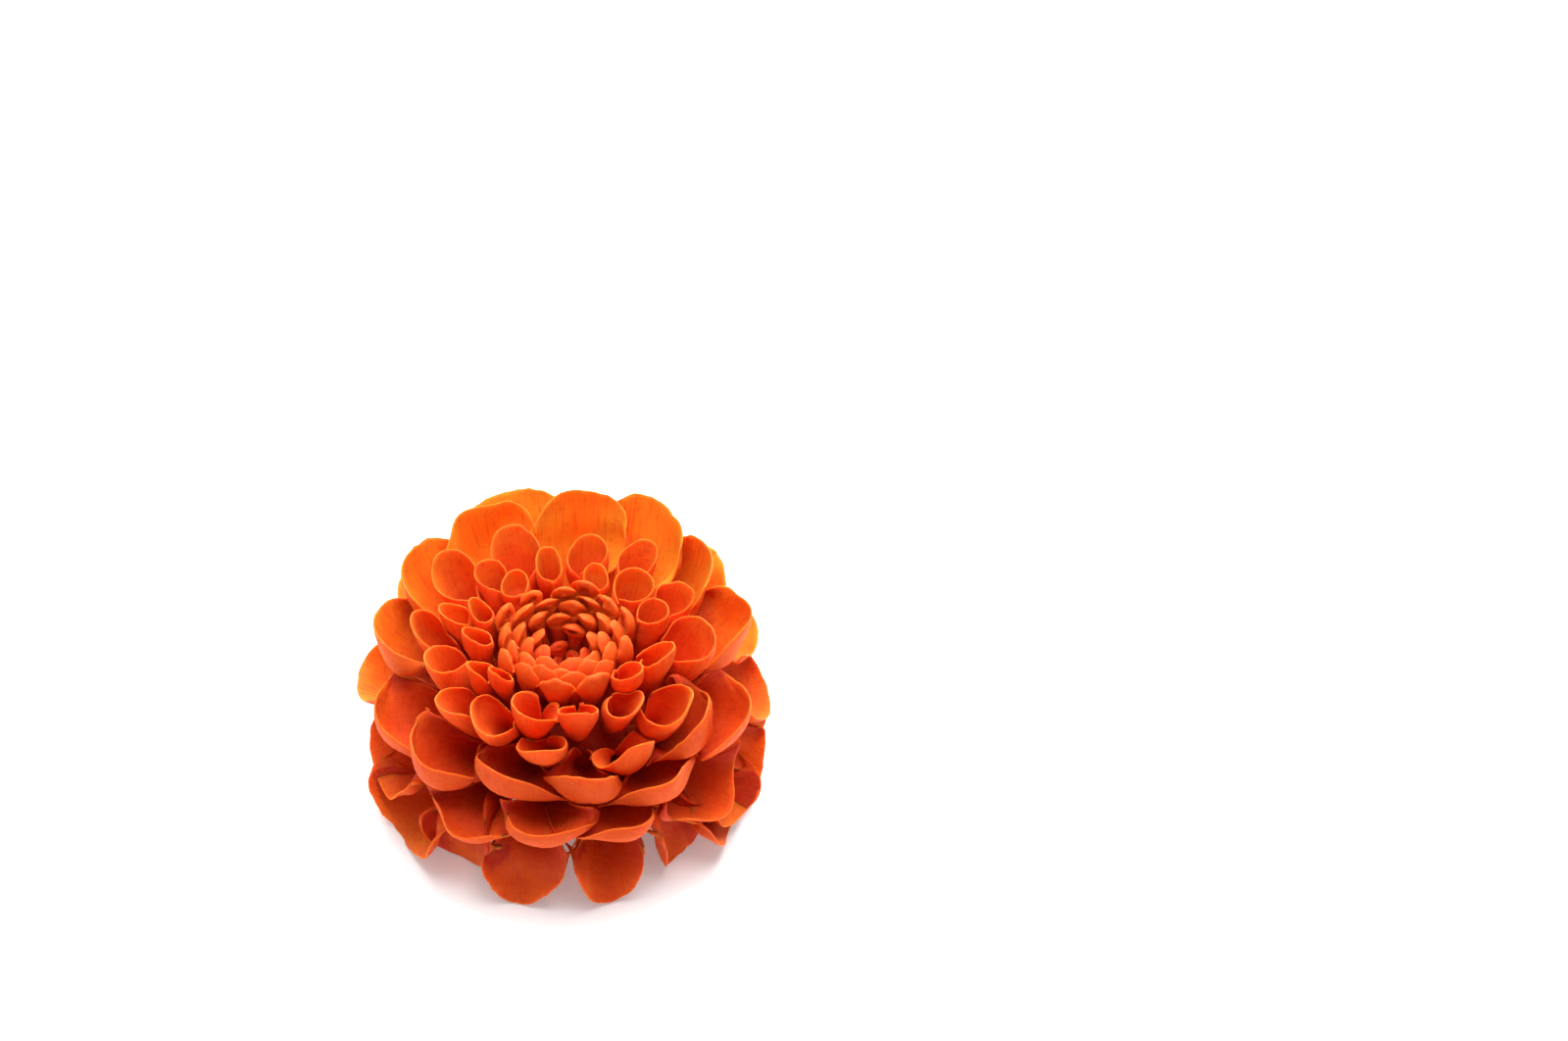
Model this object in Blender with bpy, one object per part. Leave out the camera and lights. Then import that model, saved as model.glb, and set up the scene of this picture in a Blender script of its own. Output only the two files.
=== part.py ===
"""A preserved ball dahlia head with no stem, lying on its back as picked.

Metres, +Z up. The origin is the middle of the stem stub's cut end, on the surface that the
head rests on. The petals at -Y hang lowest, and those at +Y stand up.

The florets' form changes steadily from the middle outwards: short folded buds over a hollow,
rolled quills with a slanted mouth, half-open cups, broad blades, and a last layer that hangs
to the surface. The buds follow the golden angle. The quills, and the blades in front, stand
where the photograph shows them, and the blades behind are spread between them.
"""

import math
import random
from collections import namedtuple
from functools import partial

import bmesh
import bpy
import numpy as np
from mathutils import Vector

# Driving dimensions
HEAD_RADIUS = 0.033
PETAL_THICKNESS = 0.0007

# The spiral of buds
BUDS = 46
GOLDEN_ANGLE = math.radians(137.508)
SPIRAL_START = math.radians(84.0)
SEED = 17

# The photograph, in its pixels: the middle of the buds, the head's radius, and the camera's angle
# above the table. Mouths stand a little higher than the buds' middle, by MOUTH_RISE head radii.
PHOTO_MIDDLE = (575.0, 653.0)
PHOTO_RADIUS = 216.0
PHOTO_ELEVATION = math.radians(52)
MOUTH_RISE = 0.03
# Each quill's mouth there: its middle and its width
Mouth = namedtuple("Mouth", "x y width")
MOUTHS = (
    Mouth(605, 569, 35), Mouth(646, 605, 37), Mouth(655, 577, 34), Mouth(606, 599, 24),
    Mouth(563, 576, 28), Mouth(534, 557, 48), Mouth(509, 583, 28), Mouth(475, 576, 44),
    Mouth(535, 599, 25), Mouth(471, 624, 26), Mouth(497, 621, 24), Mouth(446, 627, 36),
    Mouth(487, 648, 25), Mouth(454, 668, 38), Mouth(488, 678, 24), Mouth(468, 706, 40),
    Mouth(501, 715, 46), Mouth(536, 715, 48), Mouth(583, 725, 35), Mouth(629, 715, 38),
    Mouth(676, 716, 52), Mouth(633, 745, 74), Mouth(550, 744, 44), Mouth(667, 678, 32),
    Mouth(701, 659, 54), Mouth(664, 635, 29), Mouth(682, 615, 36), Mouth(635, 690, 27),
    Mouth(511, 685, 20),
)
# How far the sheet's tip lies behind the mouth's middle, in mouth widths, and the width from which
# a mouth gapes so far that its quill is an open cup
TIP_BEHIND_MOUTH = 0.45
WIDEST_TUBE = 60

# The blades in three layers: the ranks of its first and last blade, the places along the midrib
# where a blade's faces are split, and where each blade stands, in degrees from the right round
# to the back
LAYERS = (
    (78, 91, (0.58, 0.82, 1.0), (-79, -114, -38, 85, 60, 33, 118, 8, 148, -57, -140, -24, 172, -165)),
    (92, 104, (0.62, 1.0), (-101, -76, 100, 47, -125, 133, 20, -47, 72, 160, -4, -158, -28)),
    (105, 117, (0.62, 1.0), (110, 15, -35, 75, -150, -133, 45, 176, -10, 145, -62, -112, -79, -95)),
)

# Stations by rank, in parts of the head radius: where the midrib is rooted, where it bends and
# where it ends, each as (distance from the axis, height), and half the flat width
Station = namedtuple("Station", "root bend tip half_width")
STATIONS = {
    0: Station((0.03, 0.54), (0.04, 0.60), (0.03, 0.66), 0.030),
    4: Station((0.07, 0.54), (0.10, 0.64), (0.07, 0.71), 0.034),
    7: Station((0.10, 0.54), (0.24, 0.77), (0.10, 0.83), 0.042),
    20: Station((0.15, 0.53), (0.33, 0.81), (0.18, 0.89), 0.047),
    45: Station((0.21, 0.51), (0.43, 0.82), (0.30, 0.94), 0.052),
    46: Station((0.21, 0.48), (0.42, 0.72), (0.39, 0.94), 0.165),
    56: Station((0.22, 0.44), (0.47, 0.66), (0.48, 0.95), 0.220),
    68: Station((0.24, 0.37), (0.58, 0.55), (0.63, 0.94), 0.310),
    77: Station((0.25, 0.32), (0.69, 0.45), (0.77, 0.90), 0.375),
    86: Station((0.25, 0.29), (0.75, 0.40), (0.90, 0.78), 0.395),
    94: Station((0.25, 0.27), (0.78, 0.38), (0.96, 0.62), 0.395),
    101: Station((0.25, 0.25), (0.80, 0.38), (0.97, 0.38), 0.385),
    107: Station((0.25, 0.21), (0.78, 0.35), (0.95, 0.10), 0.375),
    112: Station((0.24, 0.19), (0.74, 0.27), (0.93, -0.05), 0.365),
    117: Station((0.24, 0.18), (0.72, 0.27), (0.90, -0.02), 0.350),
}
QUILL_RANKS = (46, 56, 68, 77)
LAST_RANK = 118
# How far a floret is rolled across its midrib, in degrees either way: a quill by its mouth's
# width, a blade by its rank, and more in front than at the back
MOUTH_ROLL = {24: 190, 44: 186, 54: 165, 76: 130}
ROLL = {78: 118, 86: 100, 94: 94, 101: 90, 117: 95}
ROLL_SHARE = {78: 0.7, 94: 1.0}
FRONT_ROLL = 0.42
# How much fuller the florets in front are
BUD_FULLNESS, BLADE_FULLNESS = 0.16, 0.24
FULL_SHARE = {78: 1.0, 117: 0.6}
# Petals at the back stand up and those in front sag: the share that a floret takes of it, and
# the rise of its tip at the sides and the further rise at the back, in head radii
LEAN_SHARE = {70: 0.0, 90: 1.0, 101: 1.0, 107: 0.0}
LEAN_SIDE, LEAN_BACK = 0.07, 0.14
LEAN_AT_BEND = 0.35

# The outline of a flat petal: its narrow claw, the place where it is widest and its round tip
CLAW_SHARE = 0.08
WIDEST_AT = 0.82
CLAW_POWER = 4.0
TIP_ROUNDING = 0.24
MOUTH_SLANT = 0.20

# How much florets differ, growing from the middle to the edge of the head
VARY_AZIMUTH = math.radians(4)
VARY_WIDTH, VARY_REACH, VARY_HEIGHT, VARY_ROLL = 0.09, 0.05, 0.035, 0.12
VARY_TWIST = math.radians(30)

# The receptacle that the florets grow from, as (radius, height) in parts of the head radius
RECEPTACLE = ((0.0, 0.59), (0.18, 0.62), (0.34, 0.58), (0.46, 0.46), (0.50, 0.32), (0.38, 0.18), (0.0, 0.16))
TURNED_SIDES = 12

# The calyx: a saucer under the receptacle and the stem stub, as (radius, height)
STUB_RADIUS = 0.09
CALYX_PROFILE = (
    (0.0, 0.15), (0.24, 0.15), (0.26, 0.12), (0.16, 0.06), (STUB_RADIUS, 0.03), (STUB_RADIUS, 0.0),
    (0.0, 0.0),
)
# Its two rows of bracts, with the roll in degrees either way
BractRow = namedtuple("BractRow", "count root bend tip half_width roll")
BRACT_ROWS = (
    BractRow(8, (0.12, 0.105), (0.30, 0.100), (0.44, 0.115), 0.105, 22),
    BractRow(5, (0.08, 0.060), (0.28, 0.070), (0.40, 0.025), 0.085, 30),
)

Form = namedtuple("Form", "azimuth root bend tip half_width roll twist")


def between(marks, rank):
    """The value at this rank, straight between the nearest marks."""
    return float(np.interp(rank, list(marks), list(marks.values())))


def station_value(rank, read):
    """What read takes from a station, between stations and in metres."""
    return HEAD_RADIUS * between({key: read(station) for key, station in STATIONS.items()}, rank)


def station_point(rank, name):
    """A point of the midrib as [distance from the axis, height]."""
    return [station_value(rank, lambda station, axis=axis: getattr(station, name)[axis]) for axis in (0, 1)]


def mouth_seat(mouth):
    """The direction that a quill stands in, and how far out its tip lies, in head radii."""
    right = (mouth.x - PHOTO_MIDDLE[0]) / PHOTO_RADIUS
    above = (PHOTO_MIDDLE[1] - mouth.y) / PHOTO_RADIUS
    back = (above - math.cos(PHOTO_ELEVATION) * MOUTH_RISE) / math.sin(PHOTO_ELEVATION)
    reach = math.hypot(right, back) + TIP_BEHIND_MOUTH * mouth.width / PHOTO_RADIUS
    return math.atan2(back, right), reach


def floret_places():
    """The shape, rank, direction and mouth of each floret, from the middle outwards."""
    places = [(bud, rank, SPIRAL_START - rank * GOLDEN_ANGLE, None) for rank in range(BUDS)]
    rank_of = {STATIONS[rank].tip[0]: rank for rank in QUILL_RANKS}
    for mouth in sorted(MOUTHS, key=lambda mouth: mouth_seat(mouth)[1]):
        azimuth, reach = mouth_seat(mouth)
        shape = quill if mouth.width < WIDEST_TUBE else blade
        places.append((shape, between(rank_of, reach), azimuth, mouth))
    for first, last, splits, azimuths in LAYERS:
        shape = partial(blade, places=splits)
        for rank, azimuth in zip(np.linspace(first, last, len(azimuths)), azimuths):
            places.append((shape, float(rank), math.radians(azimuth), None))
    return places


def floret(shape, rank, azimuth, mouth, draw):
    """The form of one floret."""
    loose = rank / LAST_RANK
    turn, wider, further, higher, rounder, twist = (draw.uniform(-1, 1) for _ in range(6))
    root, bend, tip = (station_point(rank, name) for name in ("root", "bend", "tip"))
    if mouth:
        roll = math.radians(between(MOUTH_ROLL, mouth.width))
        half_width = HEAD_RADIUS * 0.5 * mouth.width / PHOTO_RADIUS * roll
        tip[0] = HEAD_RADIUS * mouth_seat(mouth)[1]
    else:
        azimuth += VARY_AZIMUTH * turn
        front = -math.sin(azimuth)
        half_width = station_value(rank, lambda station: station.half_width) * (1 + VARY_WIDTH * wider)
        roll = math.radians(between(ROLL, rank)) * (1 + VARY_ROLL * rounder)
        tip[0] *= 1 + VARY_REACH * loose * further
        if shape is bud:
            half_width *= 1 + BUD_FULLNESS * max(0.0, front)
        else:
            half_width *= 1 + BLADE_FULLNESS * between(FULL_SHARE, rank) * max(0.0, front)
            roll *= 1 + FRONT_ROLL * between(ROLL_SHARE, rank) * front
    lean = HEAD_RADIUS * between(LEAN_SHARE, rank) * (LEAN_SIDE + LEAN_BACK * math.sin(azimuth))
    tip[1] += lean + HEAD_RADIUS * VARY_HEIGHT * loose * higher
    bend[1] += LEAN_AT_BEND * lean
    return Form(azimuth, root, bend, tip, half_width, roll, VARY_TWIST * loose * twist)


def width_share(along):
    """The flat width at this place along the midrib, as a share of its widest."""
    claw = math.sin(0.5 * math.pi * min(1.0, along / WIDEST_AT)) ** CLAW_POWER
    return CLAW_SHARE + (1 - CLAW_SHARE) * claw


def petal_point(form, along, angle, side, inward=0.0):
    """A point of a petal that is rolled round its midrib with the radius side.

    along runs from root to tip, angle from the midrib round the roll, and inward is the
    distance from the petal's outer face towards the middle of its roll.
    """
    root, bend, tip = (np.array(point) for point in (form.root, form.bend, form.tip))
    rib = (1 - along) ** 2 * root + 2 * along * (1 - along) * bend + along**2 * tip
    tangent = (1 - along) * (bend - root) + along * (tip - bend)
    tangent /= np.linalg.norm(tangent)
    sideways = (side - inward) * math.sin(angle)
    raised = side - (side - inward) * math.cos(angle)
    turn = form.twist * along
    across = sideways * math.cos(turn) - raised * math.sin(turn)
    raised = sideways * math.sin(turn) + raised * math.cos(turn)
    distance, height = rib + raised * np.array((-tangent[1], tangent[0]))
    outwards = Vector((math.cos(form.azimuth), math.sin(form.azimuth), 0))
    round_axis = Vector((-outwards.y, outwards.x, 0))
    return distance * outwards + across * round_axis + Vector((0, 0, height))


def new_object(name, bm):
    """An object from a bmesh, with its faces turned outwards."""
    bmesh.ops.recalc_face_normals(bm, faces=bm.faces)
    mesh = bpy.data.meshes.new(name)
    bm.to_mesh(mesh)
    bm.free()
    return bpy.data.objects.new(name, mesh)


def bridge(bm, lower, upper, closed):
    """Triangles between two rows of vertices with the same count."""
    count = len(lower)
    for i in range(count if closed else count - 1):
        j = (i + 1) % count
        bm.faces.new((lower[i], lower[j], upper[j]))
        bm.faces.new((lower[i], upper[j], upper[i]))


def fan(bm, point, ring):
    """Triangles from one vertex to a closed ring."""
    for i, vertex in enumerate(ring):
        bm.faces.new((point, vertex, ring[(i + 1) % len(ring)]))


def bud(form, sides=5, waist_at=0.45, waist_share=0.85, end_at=0.88, end_slant=0.11):
    """A short unopened floret: a folded finger, cut off slantwise, that leans over the hollow."""
    bm = bmesh.new()
    rings = []
    for place, slant, share in ((waist_at, 0.0, waist_share), (end_at, end_slant, 1.0)):
        side = form.half_width * share
        angles = [2 * math.pi * i / sides for i in range(sides)]
        points = [petal_point(form, place + slant * math.cos(angle), angle, side) for angle in angles]
        rings.append([bm.verts.new(point) for point in points])
    fan(bm, bm.verts.new(petal_point(form, 0, 0, form.half_width)), rings[0])
    bridge(bm, rings[0], rings[1], closed=True)
    bmesh.ops.triangulate(bm, faces=[bm.faces.new(rings[1])])
    return new_object("bud", bm)


def quill(form, sides=6, waist_at=0.44, throat_at=0.50, bottom_at=0.40):
    """A rolled floret: a tube that widens to a slanted mouth, lowest on the side of the axis."""
    radius = form.half_width / form.roll
    angles = [2 * math.pi * (i + 0.5) / sides - math.pi for i in range(sides)]
    level = {place: [place] * sides for place in (waist_at, throat_at)}
    mouth = [1 - MOUTH_SLANT * abs(angle) / math.pi for angle in angles]
    bm = bmesh.new()

    def ring(places, inward):
        return [
            bm.verts.new(petal_point(form, along, angle, radius * width_share(along), inward))
            for along, angle in zip(places, angles)
        ]

    rings = [ring(level[waist_at], 0), ring(mouth, 0)]
    rings += [ring(mouth, PETAL_THICKNESS), ring(level[throat_at], PETAL_THICKNESS)]
    for lower, upper in zip(rings, rings[1:]):
        bridge(bm, lower, upper, closed=True)
    bottom_side = radius * width_share(bottom_at)
    fan(bm, bm.verts.new(petal_point(form, 0, 0, radius)), rings[0])
    fan(bm, bm.verts.new(petal_point(form, bottom_at, 0, bottom_side, bottom_side)), rings[-1])
    return new_object("quill", bm)


def blade(form, columns=4, places=(0.58, 0.82, 1.0)):
    """An opened floret: a boat-shaped sheet with a round tip, its two faces split alike."""
    side = form.half_width / form.roll
    bm = bmesh.new()
    faces = []
    for inward in (0.0, PETAL_THICKNESS):
        rows = []
        for place in places:
            row = []
            for column in range(columns + 1):
                share = 2 * column / columns - 1
                along = place - TIP_ROUNDING * share**2 * place**4
                angle = form.roll * share * width_share(along)
                row.append(bm.verts.new(petal_point(form, along, angle, side, inward)))
            rows.append(row)
        faces.append(rows)
        for lower, upper in zip(rows, rows[1:]):
            bridge(bm, lower, upper, closed=False)
    under, over = faces
    fan(bm, bm.verts.new(petal_point(form, 0, 0, side)), under[0] + over[0][::-1])
    bridge(bm, under[-1], over[-1], closed=False)
    for column in (0, -1):
        bridge(bm, [row[column] for row in under], [row[column] for row in over], closed=False)
    return new_object("blade", bm)


def turned(name, profile):
    """A solid of revolution about the head's axis, from (radius, height) in head radii."""
    bm = bmesh.new()
    spine = [bm.verts.new((radius * HEAD_RADIUS, 0, height * HEAD_RADIUS)) for radius, height in profile]
    edges = [bm.edges.new(pair) for pair in zip(spine, spine[1:])]
    bmesh.ops.spin(
        bm, geom=spine + edges, axis=(0, 0, 1), angle=2 * math.pi, steps=TURNED_SIDES, use_merge=True
    )
    bmesh.ops.remove_doubles(bm, verts=bm.verts, dist=1e-6)
    bmesh.ops.triangulate(bm, faces=bm.faces)
    turned_object = new_object(name, bm)
    bpy.context.scene.collection.objects.link(turned_object)
    return turned_object


def applied(obj):
    """Replaces the object's mesh by its evaluated one and clears its modifiers."""
    bpy.context.view_layer.update()
    mesh = bpy.data.meshes.new_from_object(obj.evaluated_get(bpy.context.evaluated_depsgraph_get()))
    obj.modifiers.clear()
    obj.data = mesh


def fused(core, pieces):
    """Joins the pieces to the core by one Boolean union and removes them."""
    collection = bpy.data.collections.new("joined pieces")
    bpy.context.scene.collection.children.link(collection)
    for piece in pieces:
        collection.objects.link(piece)
    union = core.modifiers.new("union", "BOOLEAN")
    union.operation = "UNION"
    union.operand_type = "COLLECTION"
    union.collection = collection
    applied(core)
    for piece in pieces:
        bpy.data.objects.remove(piece)
    bpy.data.collections.remove(collection)


def cut_level(obj):
    """Cuts off what reaches below the surface, so that the lowest tips rest flat on it."""
    width, depth = 4 * HEAD_RADIUS, 0.5 * HEAD_RADIUS
    bpy.ops.mesh.primitive_cube_add(size=1, location=(0, 0, -depth / 2), scale=(width, width, depth))
    slab = bpy.context.object
    cut = obj.modifiers.new("cut level", "BOOLEAN")
    cut.operation = "DIFFERENCE"
    cut.object = slab
    applied(obj)
    bpy.data.objects.remove(slab)


def keep_largest(obj):
    """Drops loose scraps and sealed hollows, which are islands of their own."""
    bm = bmesh.new()
    bm.from_mesh(obj.data)
    left = set(bm.verts)
    islands = []
    while left:
        island, edge = set(), [left.pop()]
        while edge:
            vertex = edge.pop()
            island.add(vertex)
            others = {link.other_vert(vertex) for link in vertex.link_edges} & left
            left -= others
            edge.extend(others)
        islands.append(island)
    largest = max(islands, key=len)
    bmesh.ops.delete(bm, geom=[v for v in bm.verts if v not in largest], context="VERTS")
    bm.to_mesh(obj.data)
    bm.free()


def finish(obj, name, colour, roughness):
    """Gives the object its own material."""
    material = bpy.data.materials.new(name)
    material.use_nodes = True
    shader = material.node_tree.nodes["Principled BSDF"]
    shader.inputs["Base Color"].default_value = (*colour, 1)
    shader.inputs["Roughness"].default_value = roughness
    shader.inputs["Metallic"].default_value = 0.0
    obj.data.materials.clear()
    obj.data.materials.append(material)


def make_bloom():
    """The orange florets and the receptacle that they grow from, fused to one body."""
    bloom = turned("bloom", RECEPTACLE)
    draw = random.Random(SEED)
    pieces = []
    for shape, rank, azimuth, mouth in floret_places():
        pieces.append(shape(floret(shape, rank, azimuth, mouth, draw)))
    fused(bloom, pieces)
    cut_level(bloom)
    keep_largest(bloom)
    finish(bloom, "petal orange", (0.72, 0.10, 0.012), 0.55)


def make_calyx():
    """The green bracts under the head and the short stub of the cut stem, as one growth."""
    calyx = turned("calyx", CALYX_PROFILE)
    pieces = []
    for row in BRACT_ROWS:
        points = [[HEAD_RADIUS * value for value in point] for point in (row.root, row.bend, row.tip)]
        for i in range(row.count):
            azimuth = 2 * math.pi * (i + 0.5) / row.count
            form = Form(azimuth, *points, HEAD_RADIUS * row.half_width, math.radians(row.roll), 0.0)
            pieces.append(blade(form, columns=2, places=(0.50, 1.0)))
    fused(calyx, pieces)
    keep_largest(calyx)
    finish(calyx, "bract green", (0.16, 0.20, 0.05), 0.65)


def main():
    for obj in list(bpy.data.objects):
        bpy.data.objects.remove(obj)
    make_bloom()
    make_calyx()


main()
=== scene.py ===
"""The looks of a preserved dahlia head: fine petals, buds and bracts, their finishes, light and camera.

Metres, +Z up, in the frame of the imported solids. The head faces up; the petals at -Y hang lowest
and the camera stands there. The florets are a row from the middle outwards, as in the solids, with
one petal fewer in the hanging layer.
"""

import logging
import math
import random
from collections.abc import Callable, Mapping, Sequence
from dataclasses import dataclass, field
from enum import Enum
from typing import Any, ClassVar

import bpy
import numpy as np
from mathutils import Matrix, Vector


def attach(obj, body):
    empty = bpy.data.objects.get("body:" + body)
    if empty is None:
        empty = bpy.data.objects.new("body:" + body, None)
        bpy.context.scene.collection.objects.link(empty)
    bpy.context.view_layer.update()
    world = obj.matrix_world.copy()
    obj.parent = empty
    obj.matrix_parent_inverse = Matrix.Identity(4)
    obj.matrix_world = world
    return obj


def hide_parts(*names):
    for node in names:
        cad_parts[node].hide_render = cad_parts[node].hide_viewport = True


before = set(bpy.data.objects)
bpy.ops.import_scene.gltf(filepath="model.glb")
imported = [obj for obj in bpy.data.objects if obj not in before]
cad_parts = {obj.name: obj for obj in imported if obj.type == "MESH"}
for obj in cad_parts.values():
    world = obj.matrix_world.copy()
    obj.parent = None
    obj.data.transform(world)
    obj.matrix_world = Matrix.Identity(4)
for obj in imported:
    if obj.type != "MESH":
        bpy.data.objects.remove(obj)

log = logging.getLogger("dahlia")

Array = np.ndarray
Colour = tuple[float, float, float]
Pair = tuple[float, float]
Chart = tuple[Pair, ...]

MM = 0.001
HEAD_RADIUS = 0.033
VIEW_ELEVATION = math.radians(52)
LAST_RANK = 118.0


class Slot(Enum):
    """The record's material slots."""

    PETALS = "petals"
    CALYX = "calyx"


class Fate(Enum):
    """What became of a floret: its form changes along the row."""

    BUD = "bud"
    QUILL = "quill"
    BLADE = "blade"


# Numbers along a sheet


def smooth(value: Array | float, low: float, high: float) -> Array:
    """A share that rises smoothly from 0 at low to 1 at high.

    Args:
        value: What is measured.
        low: Where the rise starts.
        high: Where it ends.

    Returns:
        The share at each value.
    """
    share = np.clip((np.asarray(value, dtype=float) - low) / (high - low), 0.0, 1.0)
    return share * share * (3.0 - 2.0 * share)


def waves(draw: random.Random, x: Array, y: Array, shortest: float, longest: float, count: int = 7) -> Array:
    """A smooth unevenness: sine waves with drawn headings, lengths and phases.

    Args:
        draw: The seeded draws.
        x: One coordinate of each place.
        y: The other coordinate.
        shortest: The shortest wave's length, in the units of x and y.
        longest: The longest wave's length.
        count: How many waves are laid over each other.

    Returns:
        A height for each place, mostly between -1 and 1.
    """
    total = np.zeros_like(x)
    for _ in range(count):
        heading = draw.uniform(0, 2 * math.pi)
        number = 2 * math.pi / draw.uniform(shortest, longest)
        phase = draw.uniform(0, 2 * math.pi)
        total += np.sin(number * (x * math.cos(heading) + y * math.sin(heading)) + phase)
    return total / math.sqrt(count)


def soft_floor(height: Array, width: float) -> Array:
    """Heights that level out smoothly above nought instead of going below it."""
    return 0.5 * (height + np.sqrt(height * height + width * width))


def neighbour_mean(grid: Array) -> Array:
    """The mean of each place's four neighbours in a grid whose edge repeats outside it."""
    padded = np.pad(grid, [(1, 1), (1, 1), (0, 0)][:grid.ndim], mode="edge")
    return 0.25 * (padded[:-2, 1:-1] + padded[2:, 1:-1] + padded[1:-1, :-2] + padded[1:-1, 2:])


def at_azimuth(azimuth: float, distance: Array, across: Array, height: Array) -> Array:
    """Points of a floret that stands in some direction from the head's axis.

    Args:
        azimuth: The direction.
        distance: How far each point lies from the axis in that direction.
        across: How far it lies to the left of it.
        height: How high it lies.

    Returns:
        The points, rows by columns by three.
    """
    x = distance * math.cos(azimuth) - across * math.sin(azimuth)
    y = distance * math.sin(azimuth) + across * math.cos(azimuth)
    return np.stack([x, y, height], axis=2)


# The row of florets


@dataclass(frozen=True)
class Station:
    """A place in the row, in head radii: where the midrib is rooted, bends and ends."""

    rank: float
    root: Pair
    bend: Pair
    tip: Pair
    half_width: float


@dataclass(frozen=True)
class Mouth:
    """A quill's mouth where the photograph shows it, in its pixels, and how slantwise it is cut."""

    x: float
    y: float
    width: float
    slant: float = 0.15

    middle: ClassVar[Pair] = (575.0, 653.0)
    head_radius: ClassVar[float] = 216.0
    rise: ClassVar[float] = 0.03
    flat_from: ClassVar[float] = 60.0

    @property
    def wide(self) -> float:
        """Its width in head radii."""
        return self.width / self.head_radius

    @property
    def seat(self) -> Pair:
        """The mouth's middle from the head's axis, in head radii.

        Returns:
            How far it lies to the right, and how far to the back.
        """
        right = (self.x - self.middle[0]) / self.head_radius
        above = (self.middle[1] - self.y) / self.head_radius
        return right, (above - math.cos(VIEW_ELEVATION) * self.rise) / math.sin(VIEW_ELEVATION)

    @property
    def reach(self) -> float:
        """How far out the sheet's tip would lie, behind the mouth's middle, if the mouth were round."""
        return math.hypot(*self.seat) + 0.45 * self.wide

    @property
    def rim(self) -> float:
        """How far out its tip lies; a wide mouth is flatter than a round one."""
        return self.reach - (0.18 * self.wide if self.width > self.flat_from else 0.0)


@dataclass
class Form:
    """The form of one floret, in metres and radians; rank is its place between the stations."""

    index: int
    rank: float
    fate: Fate
    azimuth: float
    root: Array
    bend: Array
    tip: Array
    half_width: float
    roll: float
    twist: float
    slant: float = 0.0

    @property
    def front(self) -> float:
        """1 for a floret at the front of the head, -1 at the back."""
        return -math.sin(self.azimuth)

    @property
    def length(self) -> float:
        """How long the midrib is, near enough."""
        return float(np.linalg.norm(self.tip - self.bend) + np.linalg.norm(self.bend - self.root))


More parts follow.
